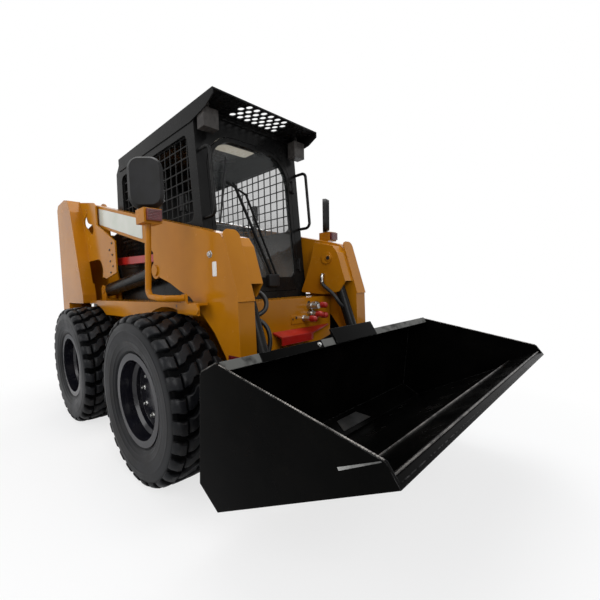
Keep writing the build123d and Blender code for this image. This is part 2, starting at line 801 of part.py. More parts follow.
with BuildPart() as marker_lamps:
    for side in (1, -1):
        extrude(block(front_plane(-150.3), (side * 730, side * 808), (1376, 1430)), amount=18)
save("marker_lamps", marker_lamps)

with BuildPart() as work_lights:
    for side in (1, -1):
        extrude(block(front_plane(-84), (side * 330, side * 435), (1917, 2022)), amount=60)
        extrude(disc(level_plane(2020), (side * 382, -114), 9), amount=roof_top - roof_plate - fit - 2020)
save("work_lights", work_lights)

# ---------------------------------------------------------------- front panel fittings
with BuildPart() as front_step:
    step_depth = 76
    step = (
        (frame_front, 765),
        (frame_front - step_depth, 742),
        (frame_front - step_depth, 694),
        (frame_front - step_depth + 8, 694),
        (frame_front - step_depth + 8, 733),
        (frame_front, 756),
    )
    extrude(outline(side_plane(-135), step), amount=560)
    slant = ((130, frame_front - step_depth - 1), (426, frame_front - step_depth - 1), (426, frame_front - 2))
    extrude(outline(level_plane(690), slant), amount=80, mode=Mode.SUBTRACT)
save("front_step", front_step)

with BuildPart() as quick_couplers:
    for x, z in ((210, 900), (260, 905), (215, 850), (265, 840)):
        extrude(disc(front_plane(frame_front), (x, z), 22), amount=30)
        extrude(disc(front_plane(frame_front - 30), (x, z), 16), amount=50)
save("quick_couplers", quick_couplers)

# ---------------------------------------------------------------- boom
arm_width = arm_outer_x - arm_inner_x
arm_shape = (
    (boom_pivot[0], beam_top(boom_pivot[0])),
    (arm_nose, beam_top(arm_nose)),
    (arm_nose - 32, beam_top(arm_nose) - 30),
    arm_knee,
    arm_shin,
    (hitch_pin[0] - arm_foot_radius, hitch_pin[1] + 6),
    (hitch_pin[0], hitch_pin[1] - 8),
    (hitch_pin[0] + arm_foot_radius - 2, hitch_pin[1]),
    (-495, 450),
    (-473, 590),
    (-425, 700),
    (-340, 815),
    (-203, 936),
    (-132, 994),
    (-32, 1028),
    (74, 1076),
    (191, 1112),
    (rod_pin[0] + 20, rod_pin[1] + 20),
    (262, 1270),
    (330, beam_bottom(330)),
    (boom_pivot[0], beam_bottom(boom_pivot[0])),
)
bay_clear_radius = 1692
nose_rise = 48                   # the nose's end plate above the slanted face it caps


def arm_face(plane):
    """Arm outline with its round ends."""
    with BuildSketch(plane) as sketch:
        with BuildLine():
            Polyline(*arm_shape, close=True)
        make_face()
        with Locations(boom_pivot):
            Circle(beam_depth / 2)
        with Locations(hitch_pin):
            Circle(arm_foot_radius)
        with Locations(rod_pin):
            Circle(rod_boss_radius)
    return sketch.sketch


for name, side in (("left_lift_arm", 1), ("right_lift_arm", -1)):
    with BuildPart() as arm:
        extrude(arm_face(side_plane(side * arm_inner_x)), amount=side * arm_width)
        with BuildSketch(side_plane(side * (arm_inner_x + plate))) as core:
            with BuildLine():
                Polyline(*arm_shape, close=True)
            make_face()
            offset(amount=-plate, kind=Kind.INTERSECTION)
            with Locations(boom_pivot):
                Circle(60, mode=Mode.SUBTRACT)
            with Locations(hitch_pin):
                Circle(45, mode=Mode.SUBTRACT)
        extrude(core.sketch, amount=side * (arm_width - 2 * plate), mode=Mode.SUBTRACT)
        # mouth where the lift cylinder enters
        mouth = outline(
            side_plane(side * (arm_inner_x + plate)),
            (
                (rod_pin[0] - 130, rod_pin[1] - 120),
                (rod_pin[0] - 130, rod_pin[1] + 60),
                (rod_pin[0] - 40, beam_bottom(330) - 20),
                (rod_pin[0] + 180, beam_bottom(330) - 20),
                (rod_pin[0] + 180, rod_pin[1] - 120),
            ),
        )
        extrude(mouth, amount=side * (arm_width - 2 * plate), mode=Mode.SUBTRACT)
        # tilt cylinder's bay inboard of the arm
        bay = side_plane(side * bay_inner_x)
        cheek = (
            (-150, 985),
            (-330, 968),
            (-450, 985),
            (-497, 1052),
            (-440, 1238),
            (-405, 1285),
            (-200, 1340),
            (-120, 1340),
        )
        extrude(outline(bay, cheek, 14), amount=side * plate)
        cover = (
            (-497, 1052),
            (-440, 1238),
            (-405, 1285),
            (-180, 1346),
            (-180, 1334),
            (-398, 1275),
            (-430, 1236),
            (-486, 1052),
        )
        extrude(outline(bay, cover), amount=side * (arm_inner_x - bay_inner_x + plate / 2))
        extrude(disc(bay, tilt_pin_top, cylinder_pin_radius), amount=side * (arm_inner_x - bay_inner_x + plate))
        extrude(disc(side_plane(side * (bay_inner_x - 10)), tilt_pin_top, 38), amount=side * 10)
        sweep_clear = disc(side_plane(side * (bay_inner_x - 20)), boom_pivot, bay_clear_radius)
        extrude(sweep_clear, amount=side * (arm_inner_x - bay_inner_x + 20), mode=Mode.SUBTRACT)
        # pin bores
        for centre, radius in ((boom_pivot, boom_pin_radius), (hitch_pin, hitch_pin_radius)):
            bore = disc(side_plane(side * (arm_inner_x - 2)), centre, radius + fit)
            extrude(bore, amount=side * (arm_width + 4), mode=Mode.SUBTRACT)
        # end plate up the arm's nose, standing proud of its top
        nose_run = (arm_nose - 32 - arm_knee[0], beam_top(arm_nose) - 30 - arm_knee[1])
        nose_length = hypot(*nose_run)
        middle = (side * (arm_inner_x + arm_outer_x) / 2, front_axle_y + arm_knee[0], arm_knee[1])
        facing = (0, -nose_run[1] / nose_length, nose_run[0] / nose_length)
        with BuildSketch(Plane(origin=middle, x_dir=(1, 0, 0), z_dir=facing)) as nose:
            with Locations((0, (nose_length + nose_rise) / 2)):
                Rectangle(arm_width, nose_length + nose_rise)
            fillet(nose.vertices().sort_by(Axis.Y)[2:], 36)
        extrude(nose.sketch, amount=8)
        # rod pin's boss on the outer plate
        extrude(disc(side_plane(side * arm_outer_x), rod_pin, 34), amount=side * 10)
    save(name, arm)

cross_tube = (1165, beam_top(1165) - half_beam)
with BuildPart() as boom_cross_tube:
    extrude(disc(side_plane(-arm_inner_x), cross_tube, 45, 37), amount=2 * arm_inner_x)
save("boom_cross_tube", boom_cross_tube)

with BuildPart() as boom_support:
    strut_half = (arm_width - 2 * plate) / 2 - 10
    strut_x = -(arm_inner_x + arm_outer_x) / 2
    strut = ((235, 1216), (235, 1262), (900, 1290), (900, 1236))
    extrude(outline(side_plane(strut_x - strut_half), strut, 4), amount=2 * strut_half)
    pin_half = (arm_width - 2 * plate) / 2
    extrude(disc(side_plane(strut_x - pin_half), (262, 1243), 12), amount=2 * pin_half)
save("boom_support", boom_support)

# ---------------------------------------------------------------- cylinders
def cylinder_plane(x, base, tip):
    """Plane at a cylinder's base pin, its normal along the cylinder."""
    length = hypot(tip[0] - base[0], tip[1] - base[1])
    along = (0, (tip[0] - base[0]) / length, (tip[1] - base[1]) / length)
    return Plane(origin=(x, front_axle_y + base[0], base[1]), x_dir=(1, 0, 0), z_dir=along), length


cylinders = (  # name, x, base, tip, barrel radius, bore, rod radius, barrel length, eye radius, eye width
    ("lift", lift_x, lift_base, rod_pin, lift_barrel_radius, lift_bore, lift_rod_radius,
     lift_barrel_length, lift_eye_radius, 60),
    ("tilt", tilt_x, tilt_pin_top, tilt_pin_foot, tilt_barrel_radius, tilt_bore, tilt_rod_radius,
     tilt_barrel_length, tilt_eye_radius, tilt_eye_width),
)
for kind, x, base, tip, barrel_radius, bore, rod_radius, barrel_length, eye_radius, eye_width in cylinders:
    for hand, side in (("left", 1), ("right", -1)):
        axis_plane, length = cylinder_plane(side * x, base, tip)
        start = eye_radius + 8
        with BuildPart() as barrel:
            eye_plane = side_plane(side * x - eye_width / 2)
            extrude(disc(eye_plane, base, eye_radius), amount=eye_width)
            with BuildSketch(axis_plane.offset(eye_radius * 0.6)) as neck:
                Circle(eye_width / 2)
            extrude(neck.sketch, amount=start - eye_radius * 0.6 + 10)
            with BuildSketch(axis_plane.offset(start)) as tube:
                Circle(barrel_radius)
            extrude(tube.sketch, amount=barrel_length - start)
            with BuildSketch(axis_plane.offset(start + 16)) as hollow:
                Circle(bore)
            extrude(hollow.sketch, amount=barrel_length - start - 56, mode=Mode.SUBTRACT)
            with BuildSketch(axis_plane.offset(barrel_length - 60)) as gland:
                Circle(rod_radius + fit)
            extrude(gland.sketch, amount=80, mode=Mode.SUBTRACT)
            extrude(disc(eye_plane, base, cylinder_pin_radius + fit), amount=eye_width, mode=Mode.SUBTRACT)
        save(f"{hand}_{kind}_barrel", barrel)
        with BuildPart() as rod:
            with BuildSketch(axis_plane.offset(start + 18)) as piston:
                Circle(bore - 0.1)
            extrude(piston.sketch, amount=26)
            with BuildSketch(axis_plane.offset(start + 40)) as shank:
                Circle(rod_radius)
            extrude(shank.sketch, amount=length - start - 50)
            tip_plane = side_plane(side * x - eye_width / 2)
            extrude(disc(tip_plane, tip, eye_radius), amount=eye_width)
        save(f"{hand}_{kind}_rod", rod)

# ---------------------------------------------------------------- bucket and hitch
with BuildPart() as bucket:
    half = bucket_width / 2
    shell = (
        (0, 0),
        (bucket_floor, 0),
        bucket_heel,
        bucket_rim,
        bucket_lip,
        (4, bucket_nose_height),
    )
    extrude(outline(bucket_plane(-half), shell), amount=bucket_width)
    cavity = (
        (-10, bucket_plate),
        (bucket_floor - 7, bucket_plate),
        (bucket_heel[0] - 12, bucket_heel[1] + 1),
        (bucket_rim[0] - 4, bucket_rim[1] - 11),
        (bucket_lip[0] - 10, bucket_lip[1] - 10),
        (bucket_lip[0] - 60, bucket_lip[1] + 200),
        (-200, bucket_nose_height + 200),
    )
    inside = half - bucket_plate
    extrude(outline(bucket_plane(-inside), cavity), amount=2 * inside, mode=Mode.SUBTRACT)
    # stiffening bar along the lip
    bar_x = (bucket_lip[0] - lip_bar[0], bucket_lip[0] + 1)
    bar_z = (bucket_lip[1] - lip_bar[1], bucket_lip[1])
    extrude(block(bucket_plane(-inside), bar_x, bar_z), amount=2 * inside)
save("bucket", bucket)

with BuildPart() as cutting_edge:
    edge = ((0, bucket_plate), (18, bucket_plate + 18), (150, bucket_plate + 18), (150, bucket_plate))
    extrude(outline(bucket_plane(-inside), edge), amount=2 * inside)
save("cutting_edge", cutting_edge)

def hitch_plane(x):
    """Side plane of the hitch: local x rearward off the bucket's back, local y up along it."""
    return Plane(
        origin=(x, front_axle_y + heel_place[0], heel_place[1]),
        x_dir=(0, sin(back_lean), -cos(back_lean)),
        z_dir=(1, 0, 0),
    )


pin_low = (hinge_off, hinge_up)
pin_high = (tilt_off, tilt_up)
hook_x = (-200, 180)
hitch_window = (84, 286)         # up the hitch's back plate
with BuildPart() as quick_hitch:
    extrude(block(hitch_plane(-560), (0, plate), (16, back_length - 8)), amount=1120)
    ear = (
        (plate, -16),
        (pin_low[0], -24),
        (pin_low[0] + 48, pin_low[1]),
        (pin_high[0] + 42, pin_high[1] + 10),
        (pin_high[0], pin_high[1] + 44),
        (plate, back_length - 60),
    )
    short_ear = (
        (plate, -16),
        (pin_low[0], -24),
        (pin_low[0] + 48, pin_low[1]),
        (pin_low[0] + 30, pin_low[1] + 50),
        (plate, pin_low[1] + 150),
    )
    for side in (1, -1):
        for x, shape in (
            (tilt_x - tilt_eye_width / 2 - side_gap - plate, ear),
            (tilt_x + tilt_eye_width / 2 + side_gap, ear),
            (arm_outer_x + side_gap, short_ear),
        ):
            extrude(outline(hitch_plane(side * x), shape, 10), amount=side * plate)
        # window behind the tilt cylinder's eye
        window_x = (side * tilt_x - tilt_eye_width / 2 - side_gap, side * tilt_x + tilt_eye_width / 2 + side_gap)
        window = block(hitch_plane(window_x[0]), (-1, plate + 1), hitch_window)
        extrude(window, amount=window_x[1] - window_x[0], mode=Mode.SUBTRACT)
        pin_start = tilt_x + tilt_eye_width / 2 + side_gap
        pin_stop = arm_outer_x + side_gap + plate + 8
        extrude(disc(hitch_plane(side * pin_start), pin_low, hitch_pin_radius), amount=side * (pin_stop - pin_start))
    # hook over the bucket's rim, with a raised front edge
    hook_width = hook_x[1] - hook_x[0]
    extrude(block(hitch_plane(hook_x[0]), (fit, plate), (back_length - 60, back_length + 18)), amount=hook_width)
    hook_front = bucket_lip[0] - lip_bar[0] - fit
    hook = (
        (bucket_rim[0] + 8, bucket_rim[1] + fit),
        (bucket_rim[0] + 8, bucket_rim[1] + plate),
        (hook_front, bucket_rim[1] + plate),
        (hook_front, bucket_rim[1] + 34),
        (hook_front - 10, bucket_rim[1] + 34),
        (hook_front - 10, bucket_lip[1] - lip_bar[1]),
        (hook_front, bucket_lip[1] - lip_bar[1]),
        (hook_front, bucket_rim[1] + fit),
    )
    extrude(outline(bucket_plane(hook_x[0]), hook), amount=hook_width)
save("quick_hitch", quick_hitch)
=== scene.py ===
from math import cos, pi, radians, sin
import bmesh
import bpy
import numpy as np
from mathutils import Matrix, Vector
from mathutils.bvhtree import BVHTree


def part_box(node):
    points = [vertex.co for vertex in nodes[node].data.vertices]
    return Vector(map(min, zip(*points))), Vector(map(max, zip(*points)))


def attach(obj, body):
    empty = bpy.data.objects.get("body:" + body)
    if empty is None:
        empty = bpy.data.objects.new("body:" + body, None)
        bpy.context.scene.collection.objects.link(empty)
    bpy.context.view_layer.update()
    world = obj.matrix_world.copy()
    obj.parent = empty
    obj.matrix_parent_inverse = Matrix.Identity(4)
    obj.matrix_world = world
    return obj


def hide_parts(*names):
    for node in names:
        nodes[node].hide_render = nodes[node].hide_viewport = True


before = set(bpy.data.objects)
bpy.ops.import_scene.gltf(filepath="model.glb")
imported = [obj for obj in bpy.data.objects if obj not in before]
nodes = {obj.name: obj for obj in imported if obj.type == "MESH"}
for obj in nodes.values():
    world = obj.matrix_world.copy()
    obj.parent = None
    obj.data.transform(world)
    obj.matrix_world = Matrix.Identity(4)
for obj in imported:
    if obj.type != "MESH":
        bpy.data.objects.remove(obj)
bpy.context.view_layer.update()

# ------------------------------------------------------------------ studio
# A plain pale floor, a white backdrop seen only by the camera and by glossy and
# clear surfaces, and soft box lamps. The camera stands at the machine's front right.
scene = bpy.context.scene
scene.view_settings.view_transform = "Standard"
tyre_low, tyre_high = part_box("front_left_tyre")
axle_y = (tyre_low.y + tyre_high.y) / 2          # the front axle's place in the row frame
axle_z = (tyre_low.z + tyre_high.z) / 2
tyre_radius = (tyre_high.z - tyre_low.z) / 2
rear_low, rear_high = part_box("rear_left_tyre")
rear_axle_y = (rear_low.y + rear_high.y) / 2

camera_data = bpy.data.cameras.new("camera")
camera = bpy.data.objects.new("camera", camera_data)
scene.collection.objects.link(camera)
scene.camera = camera
camera_data.sensor_width = 36
camera_data.lens = 20.240
camera_data.shift_x = 0.1102
camera_data.shift_y = 0.0251
camera_data.clip_start, camera_data.clip_end = 0.05, 60
yaw, pitch, roll = 0.7051, 0.0862, -0.0356
ahead = Vector((sin(yaw) * cos(pitch), cos(yaw) * cos(pitch), -sin(pitch)))
level_right = Vector((cos(yaw), -sin(yaw), 0))
level_up = level_right.cross(ahead)
right = level_right * cos(roll) + level_up * sin(roll)
up = -level_right * sin(roll) + level_up * cos(roll)
turn = Matrix((right, up, -ahead)).transposed().to_4x4()
camera.matrix_world = Matrix.Translation((-1.5737, -1.6770 + axle_y, 1.0458)) @ turn


def node_adder(tree):
    """A function that adds a node to a tree: first its settings, then its inputs, set or linked."""

    def new(kind, inputs=(), **settings):
        node = tree.nodes.new(f"ShaderNode{kind}")
        for key, value in settings.items():
            setattr(node, key, value)
        for key, value in dict(inputs).items():
            if isinstance(value, bpy.types.NodeSocket):
                tree.links.new(value, node.inputs[key])
            else:
                node.inputs[key].default_value = value
        return node

    return new


def cleared(owner):
    """The node adder of a material or a world, its tree emptied."""
    owner.use_nodes = True
    owner.node_tree.nodes.clear()
    return node_adder(owner.node_tree)


def calc(new, operation, *values):
    """The result of one Math node."""
    return new("Math", enumerate(values), operation=operation).outputs[0]


def ranged(new, value, low, high, start=0.0, end=1.0):
    """The value carried from low..high to start..end and held there."""
    ends = {"From Min": low, "From Max": high, "To Min": start, "To Max": end}
    return new("MapRange", {"Value": value, **ends}).outputs[0]


world = bpy.data.worlds.new("studio")
scene.world = world
new = cleared(world)
ambient = new("Background", {"Color": (0.92, 0.95, 1.0, 1), "Strength": 0.30})
bright = new("Background", {"Color": (1, 1, 1, 1), "Strength": 1.0})
rays = new("LightPath").outputs
white = calc(new, "MAXIMUM", rays["Is Camera Ray"], rays["Is Transmission Ray"])
white = calc(new, "MAXIMUM", white, rays["Is Glossy Ray"])
sky = new("MixShader", {0: white, 1: ambient.outputs[0], 2: bright.outputs[0]})
new("OutputWorld", {0: sky.outputs[0]})

floor_mesh = bpy.data.meshes.new("floor")
floor_mesh.from_pydata([(-9, -9, 0), (9, -9, 0), (9, 9, 0), (-9, 9, 0)], [], [(0, 1, 2, 3)])
floor = bpy.data.objects.new("floor", floor_mesh)
scene.collection.objects.link(floor)
floor_paint = bpy.data.materials.new("floor_paint")
new = cleared(floor_paint)
coat = new("BsdfPrincipled", {
    "Base Color": (0.93, 0.93, 0.93, 1), "Roughness": 0.9, "Specular IOR Level": 0.0,
})
# seen by the camera the floor is lifted towards white, wholly so away from the machine,
# and it keeps the machine's shadow close in
glow = new("Emission", {"Strength": 1.0})
reach = new("VectorMath", {0: new("TexCoord").outputs["Object"]}, operation="LENGTH")
fade = ranged(new, reach.outputs["Value"], 1.9, 2.9, 0.72)
lifted = calc(new, "MULTIPLY", fade, new("LightPath").outputs["Is Camera Ray"])
mix = new("MixShader", {0: lifted, 1: coat.outputs[0], 2: glow.outputs[0]})
new("OutputMaterial", {0: mix.outputs[0]})
floor_mesh.materials.append(floor_paint)


def soft_lamp(name, place, aim, size, power, tint=(1, 1, 1)):
    """A square area lamp at place, facing aim."""
    data = bpy.data.lights.new(name, "AREA")
    data.size = size
    data.energy = power
    data.color = tint
    lamp = bpy.data.objects.new(name, data)
    scene.collection.objects.link(lamp)
    lamp.location = place
    lamp.rotation_mode = "QUATERNION"
    lamp.rotation_quaternion = (Vector(aim) - Vector(place)).to_track_quat("-Z", "Y")
    lamp.visible_camera = False
    return lamp


soft_lamp("front_lamp", (-2.4, -4.6, 3.6), (0, -0.5, 0.8), 2.6, 120)
soft_lamp("side_lamp", (-5.0, 0.6, 2.8), (0, 0.2, 0.9), 3.0, 85)
soft_lamp("top_lamp", (0.6, -0.3, 5.2), (0, 0, 0.5), 3.4, 150)
soft_lamp("rear_lamp", (3.4, 4.2, 3.2), (0, 0.5, 1.0), 2.4, 110)


# ------------------------------------------------------------------ lower frame
# Welded plate tub with a chain case down each side, sprayed in ochre enamel. Its
# paint is glossy, a little uneven, and thin where the plate edges have been rubbed.
def noise(new, place, scale, detail, roughness=0.5):
    """Noise at a place, about 0.5."""
    inputs = {"Vector": place, "Scale": scale, "Detail": detail, "Roughness": roughness}
    return new("TexNoise", inputs).outputs["Fac"]


def mixed(new, factor, a, b):
    """Colour a where the factor is 0 and colour b where it is 1."""
    return new("Mix", {"Factor": factor, "A": a, "B": b}, data_type="RGBA").outputs["Result"]


def wear_group():
    """Object-space noise: blotches between two shades, rubbed edges, dust low down and orange peel."""
    group = bpy.data.node_groups.new("worn_coat", "ShaderNodeTree")
    for name, value in (
        ("Shade", (0.5, 0.3, 0.05, 1)), ("Deep shade", (0.4, 0.2, 0.03, 1)),
        ("Edge shade", (0.6, 0.5, 0.3, 1)), ("Dust shade", (0.35, 0.3, 0.24, 1)),
        ("Dust", 0.1), ("Edge", 0.4), ("Rough low", 0.2), ("Rough high", 0.4), ("Scale", 3.0),
    ):
        kind = "NodeSocketColor" if isinstance(value, tuple) else "NodeSocketFloat"
        socket = group.interface.new_socket(name, in_out="INPUT", socket_type=kind)
        socket.default_value = value
    for name, kind in (("Color", "Color"), ("Roughness", "Float"), ("Height", "Float"), ("Normal", "Vector")):
        group.interface.new_socket(name, in_out="OUTPUT", socket_type=f"NodeSocket{kind}")
    new = node_adder(group)
    given = group.nodes.new("NodeGroupInput").outputs
    place = new("TexCoord").outputs["Object"]
    blotch = ranged(new, noise(new, place, given["Scale"], 5), 0.35, 0.65)
    body = mixed(new, blotch, given["Shade"], given["Deep shade"])
    # rubbed edges: where the rounded normal leaves the flat one, broken up by fine noise
    rounded = new("Bevel", {"Radius": 0.0035}, samples=4).outputs[0]
    flat = new("NewGeometry").outputs["Normal"]
    turn = new("VectorMath", {0: rounded, 1: flat}, operation="DOT_PRODUCT").outputs["Value"]
    fine = ranged(new, noise(new, place, 60, 6), 0.42, 0.62)
    edge = calc(new, "MULTIPLY", ranged(new, turn, 0.985, 0.80), fine)
    edged = mixed(new, calc(new, "MULTIPLY", edge, given["Edge"]), body, given["Edge shade"])
    # dust: in patches, more of it low down
    height = new("SeparateXYZ", {0: place}).outputs["Z"]
    patch = ranged(new, noise(new, place, 7, 8, 0.65), 0.45, 0.75)
    dust = calc(new, "MULTIPLY", ranged(new, height, 1.5, 0.1, 0.25), patch)
    dusted = mixed(new, calc(new, "MULTIPLY", dust, given["Dust"]), edged, given["Dust shade"])
    # gloss varies with the same patches
    shine = {"Factor": patch, "A": given["Rough low"], "B": given["Rough high"]}
    shine = new("Mix", shine, data_type="FLOAT").outputs["Result"]
    peel = noise(new, place, 210, 2)
    out = group.nodes.new("NodeGroupOutput")
    for socket, value in zip(out.inputs, (dusted, shine, peel, rounded)):
        group.links.new(value, socket)
    return group


worn_coat = wear_group()


def enamel(
    name, shade, deep, edge_shade, metallic=0.0, coat=0.35, coat_rough=0.12, bump=0.03, gloss=0.5, **values
):
    """A sprayed finish: worn_coat drives the Principled shader's colour, roughness and normal."""
    material = bpy.data.materials.new(name)
    new = cleared(material)
    inputs = {"Shade": (*shade, 1), "Deep shade": (*deep, 1), "Edge shade": (*edge_shade, 1)}
    inputs |= {key.replace("_", " ").capitalize(): value for key, value in values.items()}
    worn = new("Group", inputs, node_tree=worn_coat).outputs
    ripple = new("Bump", {
        "Strength": bump, "Distance": 0.001, "Height": worn["Height"], "Normal": worn["Normal"],
    })
    shader = new("BsdfPrincipled", {
        "Base Color": worn["Color"], "Roughness": worn["Roughness"], "Normal": ripple.outputs[0],
        "Metallic": metallic, "Coat Weight": coat, "Coat Roughness": coat_rough, "Specular IOR Level": gloss,
    })
    new("OutputMaterial", {0: shader.outputs[0]})
    return material


def dress(material, *names):
    """Gives CAD nodes a finish through their objects' own material slots."""
    for name in names:
        for slot in nodes[name].material_slots:
            slot.link = "OBJECT"
            slot.material = material


ochre = enamel(
    "ochre_enamel", (0.43, 0.163, 0.004), (0.35, 0.127, 0.003), (0.60, 0.32, 0.06),
    dust=0.02, edge=0.4, rough_low=0.18, rough_high=0.32, scale=2.2, coat=0.07, coat_rough=0.06, gloss=0.14,
)
dress(ochre, "main_frame")

# ------------------------------------------------------------------ axle housings
# Four cast iron stub axles, one through each end of the chain cases. The castings are left
# dark and rough.
cast_iron = enamel(
    "cast_iron", (0.045, 0.045, 0.046), (0.028, 0.028, 0.029), (0.13, 0.12, 0.11),
    metallic=0.4, coat=0.0, bump=0.5, dust=0.25, edge=0.4, rough_low=0.5, rough_high=0.7, scale=9.0,
)
dress(cast_iron, "axle_housings")

# ------------------------------------------------------------------ wheel rims
# Deep pressed steel rims in black enamel with rubbed edges. Each is held to its hub by
# eight plated nuts on studs.
wheels = (
    ("front_left", 1, axle_y),
    ("front_right", -1, axle_y),
    ("rear_left", 1, rear_axle_y),
    ("rear_right", -1, rear_axle_y),
)
wheel_x = (tyre_low.x + tyre_high.x) / 2
rim_black = enamel(
    "rim_enamel", (0.008, 0.008, 0.012), (0.005, 0.005, 0.008), (0.16, 0.16, 0.17),
    dust=0.03, edge=0.8, rough_low=0.14, rough_high=0.28, scale=5.0, coat=0.0, gloss=0.35,
)
for wheel, _, _ in wheels:
    dress(rim_black, f"{wheel}_rim")


def grid_faces(rows, columns, wrap_rows=False, wrap_columns=False):
    """Quads between neighbours of a grid numbered row by row, joined round where a side wraps."""
    r = np.arange(rows if wrap_rows else rows - 1)
    c = np.arange(columns if wrap_columns else columns - 1)
    a, b = np.meshgrid(r, c, indexing="ij")
    a2, b2 = (a + 1) % rows, (b + 1) % columns
    quads = (a * columns + b, a2 * columns + b, a2 * columns + b2, a * columns + b2)
    return np.stack(quads, -1).reshape(-1, 4)


def make_piece(name, points, faces, material, body, sharp=35, painted_groove_shade=None):
    """One closed mesh piece from points in metres and faces: poles merged, faces out, riding on a body."""
    mesh = bpy.data.meshes.new(name)
    mesh.from_pydata(np.asarray(points).reshape(-1, 3).tolist(), [], [list(map(int, f)) for f in faces])
    # an optional per-point factor, used for the tyres' painted groove shade
    if painted_groove_shade is not None:
        mesh.attributes.new("painted_groove_shade", "FLOAT", "POINT").data.foreach_set("value", painted_groove_shade)
    work = bmesh.new()
    work.from_mesh(mesh)
    bmesh.ops.remove_doubles(work, verts=work.verts, dist=1e-6)
    if work.calc_volume(signed=True) < 0:
        bmesh.ops.reverse_faces(work, faces=work.faces)
    work.to_mesh(mesh)
    work.free()
    mesh.polygons.foreach_set("use_smooth", np.ones(len(mesh.polygons), bool))
    mesh.set_sharp_from_angle(angle=radians(sharp))
    mesh.materials.append(material)
    mesh.update()
    piece = bpy.data.objects.new(name, mesh)
    scene.collection.objects.link(piece)
    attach(piece, body)
    return piece


def copies(points, faces, centres):
    """The same small shape at many centres, as one array of points and one of faces."""
    points, faces, centres = np.asarray(points), np.asarray(faces), np.asarray(centres)
    all_points = (points[None] + centres[:, None]).reshape(-1, 3)
    starts = np.arange(len(centres)) * len(points)
    all_faces = (faces[None] + starts[:, None, None]).reshape(-1, faces.shape[1])
    return all_points, all_faces


def turned(profile, segments):
    """A closed solid of revolution round X: profile rows of (x, r), r = 0 at both ends."""
    angles = np.arange(segments) * 2 * pi / segments
    x = np.repeat(profile[:, :1], segments, 1)
    y = profile[:, 1:] * np.cos(angles)
    z = profile[:, 1:] * np.sin(angles)
    return np.stack((x, y, z), -1).reshape(-1, 3), grid_faces(len(profile), segments, wrap_columns=True)


plated = enamel(
    "zinc_plate", (0.52, 0.52, 0.50), (0.38, 0.38, 0.37), (0.7, 0.7, 0.7),
    metallic=1.0, coat=0.0, dust=0.2, edge=0.2, rough_low=0.25, rough_high=0.45, scale=30.0,
)
nut_profile = np.array((
    (-0.012, 0.0), (-0.012, 0.0165), (0.008, 0.0165), (0.012, 0.013),
    (0.012, 0.0085), (0.024, 0.0085), (0.026, 0.007), (0.026, 0.0),
))
nut_points, nut_faces = turned(nut_profile, 6)
nut_circle, disc_face = 0.118, 0.014                     # the studs' radius, the disc's outer face
for wheel, side, y in wheels:
    studs = np.arange(8) * 2 * pi / 8 + 0.2
    nut_x = side * (wheel_x + disc_face + 0.012)
    across, upward = y + nut_circle * np.cos(studs), axle_z + nut_circle * np.sin(studs)
    loops = nut_faces if side < 0 else nut_faces[:, ::-1]
    centres = np.stack((np.full(8, nut_x), across, upward), -1)
    points, faces = copies(nut_points * (side, 1, 1), loops, centres)
    make_piece(f"{wheel}_wheel_nuts", points, faces, plated, f"{wheel}_wheel", 30)

# ------------------------------------------------------------------ tyres
# Moulded rubber: a smooth carcass with raised rings on its sidewall, and four rows
# of separate wavy lugs whose outer rows wrap down over the shoulder.
rubber = enamel(
    "tread_rubber", (0.0075, 0.0080, 0.0095), (0.0045, 0.0048, 0.0058), (0.030, 0.030, 0.032),
    coat=0.0, bump=0.35, dust=0.03, edge=0.4, rough_low=0.34, rough_high=0.52, scale=6.0, gloss=0.2,
)


def shader_of(material):
    """A finish's Principled shader."""
    return next(n for n in material.node_tree.nodes if n.type == "BSDF_PRINCIPLED")


# a per-point attribute, 1 on raised rubber and little in the grooves, paints shade into the grooves: it
# darkens their colour and their gloss
shader, new = shader_of(rubber), node_adder(rubber.node_tree)
raised = new("Attribute", attribute_name="painted_groove_shade").outputs["Color"]
colour = shader.inputs["Base Color"].links[0].from_socket
for key, value in (("Base Color", colour), ("Specular IOR Level", (0.13, 0.13, 0.13))):
    shade = new("VectorMath", {0: raised, 1: value}, operation="MULTIPLY")
    rubber.node_tree.links.new(shade.outputs[0], shader.inputs[key])


def smooth_line(points, count):
    """A Catmull-Rom curve through the given points, sampled evenly by point number."""
    p = np.asarray(points, float)
    p = np.concatenate((2 * p[:1] - p[1:2], p, 2 * p[-1:] - p[-2:-1]))
    t = np.linspace(0, len(points) - 1, count)
    i = np.minimum(t.astype(int), len(points) - 2)
    f = (t - i)[:, None]
    a, b, c, d = p[i], p[i + 1], p[i + 2], p[i + 3]
    return 0.5 * (2 * b + (c - a) * f + (2 * a - 5 * b + 4 * c - d) * f**2 + (3 * b - a - 3 * c + d) * f**3)


half_profile = np.array((
    (0.1316, 0.2225), (0.1318, 0.2515), (0.1390, 0.2600), (0.1455, 0.2660), (0.1490, 0.2750),
    (0.1560, 0.2950), (0.1625, 0.3250), (0.1650, 0.3600), (0.1640, 0.3900), (0.1600, 0.4120),
    (0.1510, 0.4250), (0.1380, 0.4310), (0.1000, 0.4355), (0.0500, 0.4385), (0.0000, 0.4395),
))
half_curve = smooth_line(half_profile, 96)
for ring_radius in (0.287, 0.318, 0.372):                # raised rings moulded round the sidewall
    half_curve[:, 0] += 0.0017 * np.exp(-(((half_curve[:, 1] - ring_radius) / 0.0035) ** 2))
full_curve = np.concatenate((half_curve, half_curve[-2::-1] * (-1, 1)))
steps = np.hypot(*np.diff(full_curve, axis=0).T)
along = np.concatenate(([0], np.cumsum(steps)))
along -= along[-1] / 2                                   # 0 at the crown, negative outboard
tread_depth = 0.0195


